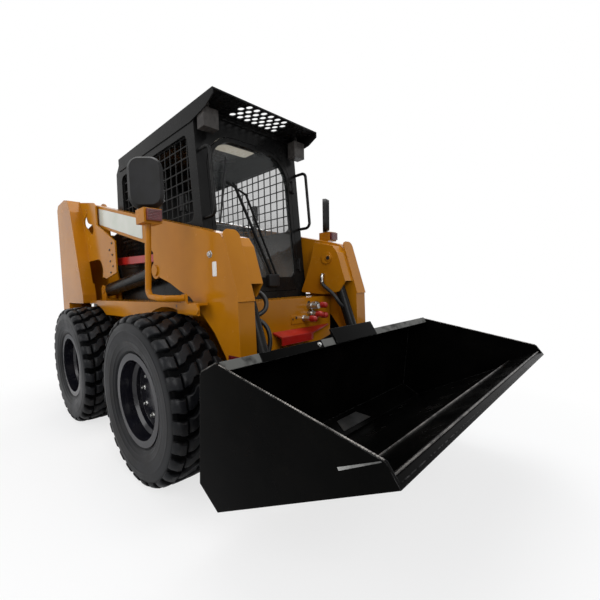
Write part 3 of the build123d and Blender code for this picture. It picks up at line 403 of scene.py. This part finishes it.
def carcass_point(t, lift):
    """Point (x, r) at distance t along the tyre's section from the crown, lifted off it by lift."""
    x, r = np.interp(t, along, full_curve[:, 0]), np.interp(t, along, full_curve[:, 1])
    dx = np.interp(t + 0.002, along, full_curve[:, 0]) - np.interp(t - 0.002, along, full_curve[:, 0])
    dr = np.interp(t + 0.002, along, full_curve[:, 1]) - np.interp(t - 0.002, along, full_curve[:, 1])
    length = np.hypot(dx, dr)
    return x + lift * dr / length, r - lift * dx / length


lug_columns = (  # start and end across the tread, how far round it shifts, its wave, its half thickness
    (-0.164, -0.101, 0.25, 0.006, 0.032),
    (-0.092, -0.005, 0.00, -0.020, 0.033),
    (0.005, 0.092, 0.50, -0.020, 0.033),
    (0.101, 0.164, 0.75, 0.006, 0.032),
)
pitches = 28


def lug_block():
    """Lugs of one tyre: lug k's point (u, v) is the section's point t(u) lifted by its rise, turned by
    (k + shift) 2 pi / pitches + (wave tanh(7u - 3.5) + v half) / R.
    """
    u = np.array((-0.07, 0.0, 0.1, 0.25, 0.42, 0.58, 0.75, 0.9, 1.0, 1.07))
    v = np.array((-1.14, -1.0, -0.82, 0.0, 0.82, 1.0, 1.14))
    rise_u = np.array((0, 0.72, 1, 1, 1, 1, 1, 1, 0.72, 0))
    rise_v = np.array((0, 0.72, 1, 1, 1, 0.72, 0))
    rise = np.minimum(rise_u[:, None], rise_v)
    u, v = np.meshgrid(u, v, indexing="ij")
    blocks = []
    for start, end, shift, wave, half in lug_columns:
        t = start + (end - start) * u
        arc = np.tanh((u - 0.5) * 7) * wave + v * half
        depth = np.where(rise > 0, rise * tread_depth * np.clip((0.182 - np.abs(t)) / 0.052, 0.16, 1), -0.004)
        x, r = carcass_point(t, depth)
        for k in range(pitches):
            angle = (k + shift) * 2 * pi / pitches + arc / tyre_radius
            blocks.append(np.stack((x, r * np.cos(angle), r * np.sin(angle)), -1).reshape(-1, 3))
    return np.array(blocks), rise.ravel()


lugs, lug_rise = lug_block()
m, n = 10, 7                                             # one lug's grid, along u and v
quads = grid_faces(m, n)
border = np.concatenate((                                # once round its outline
    np.arange(0, n), np.arange(2 * n - 1, m * n, n),
    np.arange(m * n - 2, m * n - n - 1, -1), np.arange((m - 2) * n, 0, -n),
))
segments = 160
angles = np.arange(segments) * 2 * pi / segments
ring = np.stack((
    np.repeat(full_curve[:, :1], segments, 1),
    full_curve[:, 1:] * np.cos(angles),
    full_curve[:, 1:] * np.sin(angles),
), -1)
dark = 0.15                                              # painted shade: the colour's factor in the grooves
# painted shade: the carcass is dark under the tread and full colour on the sidewalls, and each lug darkens
# towards its foot
wall = np.clip((np.abs(along) - 0.160) / 0.014, dark, 1)
painted_groove_shade = np.concatenate((np.repeat(wall, segments), np.tile(dark + (1 - dark) * lug_rise**2, len(lugs))))
for wheel, side, y in wheels:
    hub = np.array((side * wheel_x, y, axle_z))
    carcass = ring.reshape(-1, 3) * (side, 1, 1) + hub
    carcass_faces = grid_faces(len(full_curve), segments, wrap_rows=True, wrap_columns=True)
    blocks = lugs * (side, 1, 1) + hub
    starts = len(carcass) + np.arange(len(blocks)) * (m * n)
    lug_faces = (quads[None] + starts[:, None, None]).reshape(-1, 4)
    caps = border[None] + starts[:, None]
    faces = [*carcass_faces, *lug_faces]
    everything = [*(f[::side] for f in faces), *(f[::-side] for f in caps)]
    points = np.concatenate((carcass, blocks.reshape(-1, 3)))
    tyre = make_piece(f"{wheel}_tread_tyre", points, everything, rubber, f"{wheel}_wheel", 40, painted_groove_shade)
    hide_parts(f"{wheel}_tyre")

# ------------------------------------------------------------------ rear towers
# Folded plate towers welded to the frame, in the frame's ochre enamel. Two rows of hex
# bolts hold each outer plate near its front edge, in dark cast iron that is painted shade for the shadows
# round them.
dress(ochre, "left_tower", "right_tower")


def faced(points, facing):
    """Turns a shape made along X: X goes along facing, Y and Z to two directions square to it."""
    n = np.asarray(facing, float) / np.linalg.norm(facing)
    helper = np.array((0, 0, 1.0)) if abs(n[2]) < 0.9 else np.array((0, 1.0, 0))
    a = np.cross(helper, n)
    a /= np.linalg.norm(a)
    return np.asarray(points) @ np.stack((n, a, np.cross(n, a)))


def seat_on(node, start, way):
    """Where a straight line from start first meets a CAD node, or None if it misses."""
    mesh = nodes[node].data
    tree = BVHTree.FromPolygons([v.co for v in mesh.vertices], [p.vertices for p in mesh.polygons])
    hit = tree.ray_cast(Vector(start), Vector(way))[0]
    return None if hit is None else np.array(hit)


bolt_profile = np.array((
    (-0.001, 0.0), (-0.001, 0.0155), (0.002, 0.0155), (0.002, 0.0115),
    (0.009, 0.0115), (0.011, 0.0095), (0.011, 0.0),
))


def hex_bolts(name, node, starts, way, size, body, finish=plated):
    """Hex heads with washers, seated where lines along way from starts meet a CAD node."""
    seats = [seat_on(node, start, way) for start in starts]
    seats = [s for s in seats if s is not None]
    shape, faces = turned(bolt_profile * size, 6)
    points, faces = copies(faced(shape, -np.asarray(way, float)), faces, seats)
    return make_piece(name, points, faces, finish, body, 30)


for name, side in (("left", 1), ("right", -1)):
    spots = ((0.577, 1.395), (0.577, 1.310), (0.577, 1.225), (0.625, 1.350), (0.625, 1.265), (0.625, 1.180))
    starts = [(side * 0.9, y, z) for y, z in spots]
    # the bolts are real, and their dark cast iron finish is painted shade: it stands for the dark shadows
    # round them
    hex_bolts(f"{name}_tower_bolts", f"{name}_tower", starts, (-side, 0, 0), 0.6, "chassis", cast_iron)

# ------------------------------------------------------------------ fenders and step
# Plate mudguards, each held by two dark hex bolts at its front end, and a folded step in
# red enamel below the door.
dress(ochre, "fenders")
red_enamel = enamel(
    "red_enamel", (0.36, 0.011, 0.007), (0.27, 0.007, 0.005), (0.50, 0.12, 0.09),
    dust=0.06, edge=0.35, rough_low=0.3, rough_high=0.45, scale=6.0, coat=0.1, gloss=0.35,
)
dress(red_enamel, "front_step")
for name, side in (("left", 1), ("right", -1)):
    starts = [(side * 0.9, y, 0.950) for y in (-0.400, -0.460)]
    hex_bolts(f"{name}_fender_bolts", "fenders", starts, (-side, 0, 0), 0.9, "chassis", cast_iron)

# ------------------------------------------------------------------ engine and its covers
# A cast engine under a black sheet cowl, with an ochre hood and rear door. The rear door
# is slatted for air, each slat a folded strip, and has a black pull latch.
black_enamel = enamel(
    "black_enamel", (0.009, 0.009, 0.009), (0.005, 0.005, 0.005), (0.075, 0.075, 0.075),
    dust=0.03, edge=0.5, rough_low=0.22, rough_high=0.38, scale=2.5, coat=0.0, gloss=0.09,
)
dress(cast_iron, "engine_block")
dress(black_enamel, "engine_cowl", "rear_bumper")
dress(ochre, "engine_hood", "rear_door")


def slat(length, drop, stand, curve=10):
    """A pressed louvre along X: a quarter sine from the sheet out to stand over a height of drop."""
    t = np.linspace(0, 1, curve)
    out = np.stack((stand * np.sin(t * pi / 2), -drop * t), -1)
    profile = np.concatenate((((-0.001, 0.0),), out, ((-0.001, -drop),)))
    ends = np.array((-0.5, -0.5, 0.5, 0.5)) * length
    inset = np.array((0, 1, 1, 0))[:, None]
    y = np.where(inset, -profile[None, :, 0], 0.001)
    z = np.where(inset, profile[None, :, 1], -drop / 2)
    x = np.repeat(ends[:, None], len(profile), 1)
    return np.stack((x, y, z), -1).reshape(-1, 3), grid_faces(4, len(profile), wrap_columns=True)


shape, faces = slat(0.62, 0.030, 0.014)
centres = [(0, 1.612, z) for z in np.arange(0.98, 1.34, 0.045)]
points, faces = copies(shape * (1, -1, 1), faces, centres)
make_piece("rear_door_louvres", points, faces, ochre, "rear_door")


def pillow(half, corner=0.25, edge=0.25, rows=32, columns=64):
    """Superellipsoid: x = a C(v)^edge C(u)^corner, y = b C(v)^edge S(u)^corner, z = c S(v)^edge."""
    v = np.linspace(-pi / 2, pi / 2, rows)[:, None]
    u = np.arange(columns)[None] * 2 * pi / columns

    def power(w, e):
        w = np.where(np.abs(w) < 1e-9, 0, w)
        return np.sign(w) * np.abs(w) ** e

    x = half[0] * power(np.cos(v), edge) * power(np.cos(u), corner)
    y = half[1] * power(np.cos(v), edge) * power(np.sin(u), corner)
    z = half[2] * power(np.sin(v), edge) * np.ones_like(u)
    return np.stack((x, y, z), -1).reshape(-1, 3), grid_faces(rows, columns, wrap_columns=True)


black_plastic = enamel(
    "moulded_black", (0.014, 0.014, 0.015), (0.010, 0.010, 0.010), (0.04, 0.04, 0.04),
    coat=0.0, dust=0.03, edge=0.1, rough_low=0.4, rough_high=0.55, bump=0.3, gloss=0.14, scale=14.0,
)
points, faces = pillow((0.055, 0.012, 0.022), 0.3, 0.3, 20, 40)
points += (-0.36, 1.624, 0.98)
make_piece("rear_door_latch", points, faces, black_plastic, "rear_door")

# ------------------------------------------------------------------ cab
# Welded tube and sheet cab in satin black, with a louvred quarter behind each side
# window and a cream lamp under its ceiling, whose unlit lens has a painted glow.
dress(black_enamel, "cab_shell", "cab_roof", "side_grilles", "grab_handles")
for name, side in (("left", 1), ("right", -1)):
    shape, faces = slat(0.30, 0.024, 0.0035)
    shape = np.stack((side * -shape[:, 1], shape[:, 0], shape[:, 2]), -1)
    centres = [(side * 0.439, 0.60, z) for z in np.arange(1.18, 1.48, 0.036)]
    points, faces = copies(shape, faces, centres)
    make_piece(f"{name}_quarter_louvres", points, faces, black_enamel, "chassis")

cream = enamel(
    "cream_lens_painted_glow", (0.72, 0.66, 0.50), (0.62, 0.56, 0.42), (0.8, 0.76, 0.62),
    coat=0.2, dust=0.02, edge=0.1, rough_low=0.25, rough_high=0.4, scale=9.0,
)
# the lamp is not lit: this glow is painted light, for the daylight its lens catches
shader_of(cream).inputs["Emission Color"].default_value = (1.0, 0.93, 0.76, 1)
shader_of(cream).inputs["Emission Strength"].default_value = 0.45
points, faces = pillow((0.150, 0.055, 0.022), 0.15, 0.35, 20, 64)
make_piece("ceiling_lamp", points + (0.080, -0.075, 2.0175), faces, cream, "chassis")

# ------------------------------------------------------------------ operator's seat
# Foam pads under black vinyl on a moulded box: a crowned cushion and a leaning back, each
# with sewn cross channels. The lap bar and the levers beside them are black.
vinyl = enamel(
    "black_vinyl", (0.016, 0.016, 0.017), (0.010, 0.010, 0.011), (0.05, 0.05, 0.05),
    coat=0.0, dust=0.03, edge=0.25, rough_low=0.38, rough_high=0.55, bump=0.6, gloss=0.35, scale=20.0,
)
seat_low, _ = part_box("operator_seat")
box_top = seat_low.z + 0.330
points, faces = pillow((0.278, 0.248, 0.163), 0.12, 0.12, 32, 64)
points += (0, seat_low.y + 0.281, seat_low.z + 0.165)
seat_box = make_piece("seat_box", points, faces, black_plastic, "chassis")
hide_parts("operator_seat")


def channels(along, places, width, depth):
    """Sewn grooves: the sum over places p of depth times exp(-((along - p) / width)^2)."""
    return depth * np.exp(-(((along[:, None] - np.asarray(places)) / width) ** 2)).sum(1)


half = np.array((0.236, 0.228, 0.052))                   # half the cushion's size
points, faces = pillow(half, 0.32, 0.45, 64, 128)
x, y, z = (points / half).T
crown = 0.010 * np.clip(1 - x**2, 0, 1) * np.clip(1 - y**2, 0, 1)
groove = channels(points[:, 1], (-0.11, -0.04, 0.03, 0.10), 0.006, 0.006)
points[:, 2] += np.clip(z, 0, 1) * (crown - 0.008 - groove * (np.abs(points[:, 0]) < 0.19))
points += (0, seat_low.y + 0.265, box_top + 0.053)
cushion = make_piece("seat_cushion", points, faces, vinyl, "chassis", 60)
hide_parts("operator_seat")

half = np.array((0.226, 0.050, 0.222))                   # half the back's size
points, faces = pillow(half, 0.35, 0.40, 64, 128)
front = np.clip(-points[:, 1] / half[1], 0, 1)
groove = channels(points[:, 2], (-0.12, -0.04, 0.04, 0.12), 0.006, 0.006)
points[:, 1] += front * groove * (np.abs(points[:, 0]) < 0.18)
points[:, 1] += 0.22 * (points[:, 2] + half[2])          # it leans back
points += (0, seat_low.y + 0.408, box_top + 0.335)
back_pad = make_piece("seat_back", points, faces, vinyl, "chassis", 60)
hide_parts("operator_seat")
dress(black_enamel, "lap_bar")
dress(black_plastic, "control_levers")

# ------------------------------------------------------------------ cab door, glass and wiper
# A rounded sheet frame round safety glass that turns paler towards its foot. Its wiper is a pair of black
# steel rods from a moulded motor case at the foot of the glass, with a hanging rubber blade.
glass = bpy.data.materials.new("safety_glass")
new = cleared(glass)
place = new("TexCoord").outputs["Object"]
smear = noise(new, place, 3.5, 5)
# the pane turns paler and less clear towards its foot, in blotches
foot = ranged(new, new("SeparateXYZ", {0: place}).outputs["Z"], 1.55, 1.12)
dust = calc(new, "MULTIPLY", foot, smear)
pane = new("BsdfPrincipled", {
    "Base Color": mixed(new, dust, (0.020, 0.023, 0.023, 1), (0.20, 0.19, 0.175, 1)),
    "Roughness": ranged(new, smear, 0, 1, 0.015, 0.09), "Alpha": ranged(new, dust, 0, 1, 0.30, 0.85),
})
new("OutputMaterial", {0: pane.outputs[0]})
dress(glass, "door_glass", "rear_window")
dress(black_enamel, "cab_door")


def door_front(x, z, proud):
    """A point that stands proud of the door's leaning outer face, at x across and height z."""
    x, z = np.broadcast_arrays(np.asarray(x, float), np.asarray(z, float))
    y = axle_y - 0.137 + 0.0876 * (z - 0.967) - proud
    return np.stack((x, y, z), -1)


def swept(path, radius, sides=12, ref=(0, 0, 1.0)):
    """A closed round bar along a path: ring k is the path's point k plus r_k (s cos a + t sin a)."""
    path = np.asarray(path, float)
    ahead = np.gradient(path, axis=0)
    ahead /= np.linalg.norm(ahead, axis=1)[:, None]
    s = np.cross(ahead, ref)
    s /= np.linalg.norm(s, axis=1)[:, None]
    t = np.cross(s, ahead)
    r = np.concatenate(([0], np.broadcast_to(radius, len(path)), [0]))[:, None, None]
    path, s, t = (np.concatenate((v[:1], v, v[-1:]))[:, None] for v in (path, s, t))
    a = (np.arange(sides) * 2 * pi / sides)[None, :, None]
    points = path + r * (s * np.cos(a) + t * np.sin(a))
    return points.reshape(-1, 3), grid_faces(len(r), sides, wrap_columns=True)


points, faces = pillow((0.050, 0.020, 0.040), 0.25, 0.25, 24, 48)
motor = points + door_front(0.078, 1.072, 0.018)
make_piece("wiper_motor", motor, faces, black_plastic, "cab_door")
step = np.linspace(0, 1, 24)
for name, foot_x, foot_z, top_x, top_z, thick in (
    ("wiper_arm", 0.066, 1.100, -0.200, 1.666, 0.0090), ("wiper_link", 0.118, 1.085, -0.108, 1.612, 0.0075),
    ("wiper_joint", -0.092, 1.600, -0.255, 1.660, 0.0065),
):
    path = door_front(foot_x + (top_x - foot_x) * step, foot_z + (top_z - foot_z) * step, 0.026)
    points, faces = swept(path, thick, 10, (0.1, 1.0, 0))
    make_piece(name, points, faces, black_enamel, "cab_door")
path = door_front(-0.228 - 0.090 * step, 1.815 - 0.395 * step, 0.012)
points, faces = swept(path, 0.0085 - 0.004 * np.abs(2 * step - 1), 8, (0.1, 1.0, 0))
make_piece("wiper_blade", points, faces, black_plastic, "cab_door")

# ------------------------------------------------------------------ lamps and mirrors
# Boxed grey work lamps under the visor, mirrors on ochre tube posts, and dark red marker
# lamps with moulded ribs across their faces.
lamp_grey = enamel(
    "lamp_lens", (0.050, 0.046, 0.043), (0.030, 0.027, 0.026), (0.12, 0.11, 0.10),
    coat=0.0, gloss=0.12, dust=0.1, edge=0.2, rough_low=0.2, rough_high=0.4, scale=30.0,
)
dress(lamp_grey, "work_lights")
dress(ochre, "mirror_posts")
dress(black_plastic, "mirror_heads")
dark_red = enamel(
    "marker_red", (0.11, 0.007, 0.010), (0.07, 0.005, 0.007), (0.2, 0.05, 0.05),
    coat=0.3, dust=0.04, edge=0.1, rough_low=0.2, rough_high=0.35, scale=30.0,
)
dress(dark_red, "marker_lamps")
marker_low, marker_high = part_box("marker_lamps")
for name, side in (("left", 1), ("right", -1)):
    shape, faces = pillow((0.036, 0.002, 0.0022), 0.4, 0.4, 10, 24)
    middle = side * (marker_high.x - 0.039)
    heights = np.linspace(marker_low.z + 0.008, marker_high.z - 0.008, 6)
    centres = [(middle, marker_low.y - 0.0005, z) for z in heights]
    points, faces = copies(shape, faces, centres)
    make_piece(f"{name}_marker_ribs", points, faces, dark_red, "chassis")

# ------------------------------------------------------------------ quick couplers
# Plated screw couplers through the front panel, under red caps. One stands on a small
# plate beside two plugged slots, and a larger plug fills a spare hole.
dress(plated, "quick_couplers")
cap_profile = np.array((
    (0.0, 0.0), (0.0, 0.019), (0.006, 0.0205), (0.012, 0.019),
    (0.034, 0.0185), (0.040, 0.015), (0.043, 0.008), (0.044, 0.0),
))
coupler_low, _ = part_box("quick_couplers")
shape, faces = turned(cap_profile, 28)
shape = faced(shape, (0, -1, 0))
spots = ((0.260, 0.905), (0.215, 0.850), (0.265, 0.840), (0.150, 0.826))
points, faces = copies(shape, faces, [(x, coupler_low.y + 0.018, z) for x, z in spots])
make_piece("coupler_caps", points, faces, red_enamel, "chassis")
frame_face = float(seat_on("main_frame", (0.155, -2.0, 0.822), (0, 1, 0))[1])
stub = np.array((
    (-0.001, 0.0), (-0.001, 0.021), (0.012, 0.021), (0.014, 0.0155),
    (0.064, 0.0155), (0.066, 0.013), (0.066, 0.0),
))
points, faces = turned(stub, 6)
points = faced(points, (0, -1, 0)) + (0.150, frame_face, 0.826)
make_piece("capped_coupler", points, faces, plated, "chassis", 30)
points, faces = pillow((0.125, 0.003, 0.028), 0.12, 0.12, 16, 48)
points += (0.158, frame_face - 0.0025, 0.822)
make_piece("coupler_plate", points, faces, ochre, "chassis")
plug = np.array(((-0.001, 0.0), (-0.001, 1.0), (0.0008, 1.0), (0.001, 0.97), (0.001, 0.0)))
for name, x, z, size, out_by in (
    ("hole_plug", 0.2137, 0.918, 0.0150, 0.0), ("left_slot_plug", 0.079, 0.8335, 0.0085, 0.0055),
    ("right_slot_plug", 0.045, 0.8270, 0.0065, 0.0055),
):
    points, faces = turned(plug * (1, size), 24)
    points = faced(points, (0, -1, 0)) + (x, frame_face - out_by, z)
    make_piece(name, points, faces, black_plastic, "chassis", 30)

# ------------------------------------------------------------------ boom
# Box arms welded from plate in the frame's ochre, joined by a tube. The right arm bears a small blank film
# and a long pale sheet that is a painted reflection on its beam, and each arm a red reflector low on its
# outer face.
dress(ochre, "left_lift_arm", "right_lift_arm", "boom_cross_tube")
dress(red_enamel, "boom_support")
pale = enamel(
    "pale_film", (0.72, 0.70, 0.66), (0.64, 0.62, 0.58), (0.8, 0.8, 0.8),
    coat=0.2, dust=0.05, edge=0.1, rough_low=0.3, rough_high=0.45, scale=12.0,
)
points, faces = pillow((0.0009, 0.017, 0.036), 0.25, 0.25, 16, 40)
make_piece("arm_blank_label", points + (-0.5662, -0.628, 1.131), faces, pale, "boom")
# a painted reflection: a pale greenish sheet on the right beam's outer face where the beam reflects bright
# light
painted_beam_reflection = enamel(
    "painted_beam_reflection", (0.50, 0.53, 0.45), (0.60, 0.60, 0.54), (0.62, 0.62, 0.58),
    coat=0.3, dust=0.1, edge=0.1, rough_low=0.2, rough_high=0.3, scale=5.0,
)
points, faces = pillow((0.0009, 0.385, 0.064), 0.08, 0.08, 20, 64)
points[:, 2] += 0.279 * points[:, 1]                     # the beam rises to the rear
points += (-0.5665, 0.510, 1.540)
make_piece("painted_reflection_panel", points, faces, painted_beam_reflection, "boom")
pin_end = np.array(((-0.002, 0.0), (-0.002, 0.021), (0.003, 0.021), (0.004, 0.019), (0.004, 0.0)))
for name, size, finish, paint, proud in (
    ("left_pin_ring", 1.0, ochre, "yellow_paint", 0.0),
    ("left_pin_end", 0.62, black_plastic, "black_plastic", 0.0012),
):
    points, faces = turned(pin_end * (1, size), 32)
    points = faced(points, (-1, 0, 0)) + (0.362 - proud, -0.647, 1.207)
    make_piece(name, points, faces, finish, "boom", 30)
strip, strip_faces = pillow((0.0016, 0.040, 0.011), 0.2, 0.2, 16, 40)
for name, side in (("left", 1), ("right", -1)):
    place = (side * 0.5665, -0.752, 0.706)
    make_piece(f"{name}_arm_reflector", strip + place, strip_faces, dark_red, "boom")
    starts = [(side * 0.9, -0.597, 1.205)]
    hex_bolts(f"{name}_arm_boss_bolt", f"{name}_lift_arm", starts, (-side, 0, 0), 1.2, "boom")

# ------------------------------------------------------------------ cylinders
# Steel barrels in black enamel and ground rods in hard chrome. Each is pinned at one end,
# and swings and slides with a body of its own.
chrome = enamel(
    "hard_chrome", (0.60, 0.60, 0.61), (0.5, 0.5, 0.51), (0.7, 0.7, 0.7),
    metallic=1.0, coat=0.0, dust=0.04, edge=0.1, rough_low=0.08, rough_high=0.2, scale=12.0,
)
for side in ("left", "right"):
    dress(black_enamel, f"{side}_lift_barrel", f"{side}_tilt_barrel")
    dress(chrome, f"{side}_lift_rod", f"{side}_tilt_rod")

# ------------------------------------------------------------------ hydraulic hoses
# Stiff rubber hoses, 24 mm thick, each starting in a plated sleeve. Two run from an arm's
# inner side to its tilt cylinder's port, and the lower one loops back into its arm.
hose_rubber = enamel(
    "hose_rubber", (0.010, 0.010, 0.011), (0.007, 0.007, 0.007), (0.03, 0.03, 0.03),
    coat=0.0, dust=0.05, edge=0.1, rough_low=0.42, rough_high=0.58, bump=0.3, gloss=0.3, scale=30.0,
)
hose_routes = {
    "right_upper_hose": (
        (-0.384, -0.622, 1.022), (-0.362, -0.640, 1.024), (-0.342, -0.678, 1.018), (-0.334, -0.722, 0.996),
        (-0.336, -0.752, 0.960), (-0.350, -0.758, 0.924), (-0.372, -0.746, 0.902), (-0.390, -0.737, 0.894),
    ),
    "right_lower_hose": (
        (-0.463, -0.655, 0.880), (-0.425, -0.662, 0.882), (-0.385, -0.676, 0.880), (-0.350, -0.704, 0.868),
        (-0.330, -0.738, 0.838), (-0.325, -0.758, 0.790), (-0.330, -0.762, 0.735), (-0.350, -0.758, 0.680),
        (-0.385, -0.752, 0.635), (-0.425, -0.748, 0.608), (-0.463, -0.746, 0.598),
    ),
    # this one lies against the arm, so that the opened cab door clears it
    "left_cheek_hose": (
        (0.3505, -0.605, 1.062), (0.3505, -0.606, 1.046), (0.3505, -0.618, 1.026), (0.3500, -0.650, 1.002),
        (0.3460, -0.688, 0.976), (0.3460, -0.716, 0.946), (0.3580, -0.728, 0.915), (0.3740, -0.732, 0.898),
        (0.3900, -0.733, 0.890),
    ),
}
hose_size = 0.024
sleeve_profile = np.array((
    (0.0, 0.0), (0.0, 0.0145), (0.006, 0.0155), (0.024, 0.0155), (0.030, 0.0135), (0.030, 0.0),
))
for name, route in hose_routes.items():
    curve = bpy.data.curves.new(name, "CURVE")
    curve.dimensions = "3D"
    curve.bevel_depth = hose_size / 2
    curve.bevel_resolution = 5
    curve.resolution_u = 12
    curve.use_fill_caps = True
    spline = curve.splines.new("NURBS")
    spline.points.add(len(route) - 1)
    spline.points.foreach_set("co", np.column_stack((route, np.ones(len(route)))).ravel())
    spline.order_u = 3
    spline.use_endpoint_u = True
    curve.materials.append(hose_rubber)
    hose = bpy.data.objects.new(name, curve)
    scene.collection.objects.link(hose)
    # the line without its thickness is made into a mesh and removed at once
    curve.bevel_depth = 0
    line = bpy.data.meshes.new_from_object(hose)
    bpy.data.meshes.remove(line)
    curve.bevel_depth = hose_size / 2
    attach(hose, "boom")
    start = np.array(route[0])
    slim = 0.8 if name == "left_cheek_hose" else 1.0
    shape, faces = turned(sleeve_profile * (1, slim), 24)
    points = faced(shape, np.array(route[1]) - start) + start
    make_piece(f"{name}_sleeve", points, faces, plated, "boom")

elbow = (
    (0.374, -0.604, 1.100), (0.358, -0.604, 1.098), (0.3515, -0.605, 1.082), (0.3515, -0.605, 1.050),
)
points, faces = swept(smooth_line(elbow, 24), 0.0105, 12, (0, 1.0, 0))
make_piece("left_cheek_elbow", points, faces, plated, "boom")

# ------------------------------------------------------------------ bucket and hitch
# Welded plate bucket in gloss black, pinned to the arms by its hitch, with a worn bar along
# its back rim. Rippled weld beads run along its side plates' tops, its lip and its wear edge.
bucket_black = enamel(
    "gloss_black_enamel", (0.0017, 0.0017, 0.0016), (0.001, 0.001, 0.001), (0.10, 0.10, 0.10),
    dust=0.004, edge=0.8, rough_low=0.16, rough_high=0.34, scale=3.0, coat=0.0, gloss=0.02,
)
rim_y, rim_z = -1.0655, 0.7475                           # the bar's front and lower limits
bucket_paint = bucket_black.copy()
bucket_paint.name = "gloss_black_bucket"
shader, new = shader_of(bucket_paint), node_adder(bucket_paint.node_tree)
place = new("TexCoord").outputs["Object"]
parts = new("SeparateXYZ", {0: place}).outputs
scuffs = ranged(new, noise(new, place, 16, 8), 0.30, 0.50)
bar = calc(new, "MULTIPLY", calc(new, "GREATER_THAN", parts["Y"], rim_y), scuffs)
bar = calc(new, "MULTIPLY", bar, calc(new, "GREATER_THAN", parts["Z"], rim_z))
inner = calc(new, "LESS_THAN", calc(new, "ABSOLUTE", parts["X"]), 0.8805)
bar = calc(new, "MULTIPLY", bar, inner)
# a rubbed streak on the outside of the right side plate. It thins and fades towards the rim:
# its half width is 4.2 mm - 0.022 s and its strength 0.85 - 5 s, s being the way along it
streak_start, streak_end = np.array((-1.5080, 0.5985)), np.array((-1.6150, 0.6580))
heading = (streak_end - streak_start) / np.linalg.norm(streak_end - streak_start)
way = []
for direction in (heading, (-heading[1], heading[0])):
    dot = new("VectorMath", {0: place, 1: (0, *direction)}, operation="DOT_PRODUCT").outputs["Value"]
    way.append(calc(new, "SUBTRACT", dot, float(np.dot(direction, streak_start))))
half_width = calc(new, "SUBTRACT", 0.0042, calc(new, "MULTIPLY", way[0], 0.022))
strength = calc(new, "SUBTRACT", 0.85, calc(new, "MULTIPLY", way[0], 5.0))
specks = calc(new, "MULTIPLY", 0.4, ranged(new, noise(new, place, 60, 6), 0.30, 0.62))
streak = calc(new, "LESS_THAN", calc(new, "ABSOLUTE", way[1]), half_width)
for limit in (
    calc(new, "COMPARE", way[0], 0.0610, 0.0610), calc(new, "LESS_THAN", parts["X"], -0.8905), strength,
    calc(new, "ADD", 0.45, specks),
):
    streak = calc(new, "MULTIPLY", streak, limit)
plain = shader.inputs["Base Color"].links[0].from_socket
rubbed = mixed(new, streak, mixed(new, bar, plain, (0.125, 0.125, 0.118, 1)), (0.55, 0.55, 0.53, 1))
bucket_paint.node_tree.links.new(rubbed, shader.inputs["Base Color"])
dress(bucket_paint, "bucket")
dress(bucket_black, "quick_hitch", "cutting_edge")
# its pale edge shade is partly painted glint: it lightens the beads' edges and ripples as well as showing
# bare metal
weld_metal = enamel(
    "weld_metal", (0.16, 0.15, 0.14), (0.015, 0.014, 0.013), (0.55, 0.55, 0.54),
    metallic=0.9, coat=0.0, dust=0.0, edge=0.5, rough_low=0.15, rough_high=0.35, scale=26.0,
)


def bead(start, end, radius, pitch=0.009):
    """A run of weld: a bar whose radius is r (0.72 + 0.28 |sin(pi s / pitch)|) at distance s along it."""
    start, end = np.asarray(start, float), np.asarray(end, float)
    length = np.linalg.norm(end - start)
    s = np.linspace(0, length, max(8, int(length / pitch * 5)))
    path = start + (end - start) * (s / length)[:, None]
    ripple = radius * (0.72 + 0.28 * np.abs(np.sin(pi * s / pitch)))
    ref = (0, 0, 1.0) if abs(end[2] - start[2]) < 0.9 * length else (1.0, 0, 0)
    return swept(path, ripple, 7, ref)


beads = [
    ("wear_edge_bead", (-0.872, -1.5112, 0.5585), (0.872, -1.5112, 0.5585), 0.0045),
    ("lip_bead", (-0.876, -1.6330, 0.6272), (0.876, -1.6330, 0.6272), 0.0036),
]
for name, side in (("left", 1), ("right", -1)):
    side_x, shoulder_x = side * 0.886, side * 0.885
    beads += (
        (f"{name}_side_bead", (side_x, -1.6190, 0.6612), (side_x, -1.0480, 0.7792), 0.0034),
        (f"{name}_shoulder_bead", (shoulder_x, -0.9440, 0.7372), (shoulder_x, -1.0300, 0.7800), 0.0056),
    )
for name, start, end, radius in beads:
    points, faces = bead(start, end, radius)
    make_piece(name, points, faces, weld_metal, "bucket", 60)
scuffed_black = enamel(
    "scuffed_black", (0.034, 0.034, 0.034), (0.014, 0.014, 0.014), (0.12, 0.12, 0.12),
    coat=0.0, dust=0.1, edge=0.4, rough_low=0.3, rough_high=0.5, scale=12.0, gloss=0.1,
)


def slab(corners, normal, thick):
    """A flat plate: four corners sunk 1 mm into what they lie on, and the same four raised by thick."""
    corners, normal = np.asarray(corners, float), np.asarray(normal, float)
    points = np.concatenate((corners - 0.001 * normal, corners + thick * normal))
    return points, [(0, 1, 2, 3), (7, 6, 5, 4), (0, 4, 5, 1), (1, 5, 6, 2), (2, 6, 7, 3), (3, 7, 4, 0)]


# a repair patch on the slope at the foot of the back wall
outline = ((-0.010, -0.940), (0.185, -0.940), (0.250, -0.995), (-0.030, -0.995))
corners = [seat_on("bucket", (x, y, 0.45), (0, 0, -1)) for x, y in outline]
points, faces = slab(corners, (0, -0.51, 0.86), 0.004)
make_piece("bucket_patch", points, faces, scuffed_black, "bucket", 30)
# a black plate over the rim bar at the machine's right, with a plated bolt at its inner end
bar_foot, bar_top = (-1.0642, 0.7540), (-1.0445, 0.7875)
corners = [(-0.690, *bar_foot), (-0.690, *bar_top), (-0.298, *bar_top), (-0.298, *bar_foot)]
points, faces = slab(corners, (0, -0.862, 0.507), 0.004)
make_piece("rim_plate", points, faces, bucket_black, "bucket", 30)
shape, shape_faces = turned(bolt_profile * 0.75, 6)
points = faced(shape, (0, -0.862, 0.507)) + (-0.325, -1.0578, 0.7728)
make_piece("rim_plate_bolt", points, shape_faces, plated, "bucket", 30)
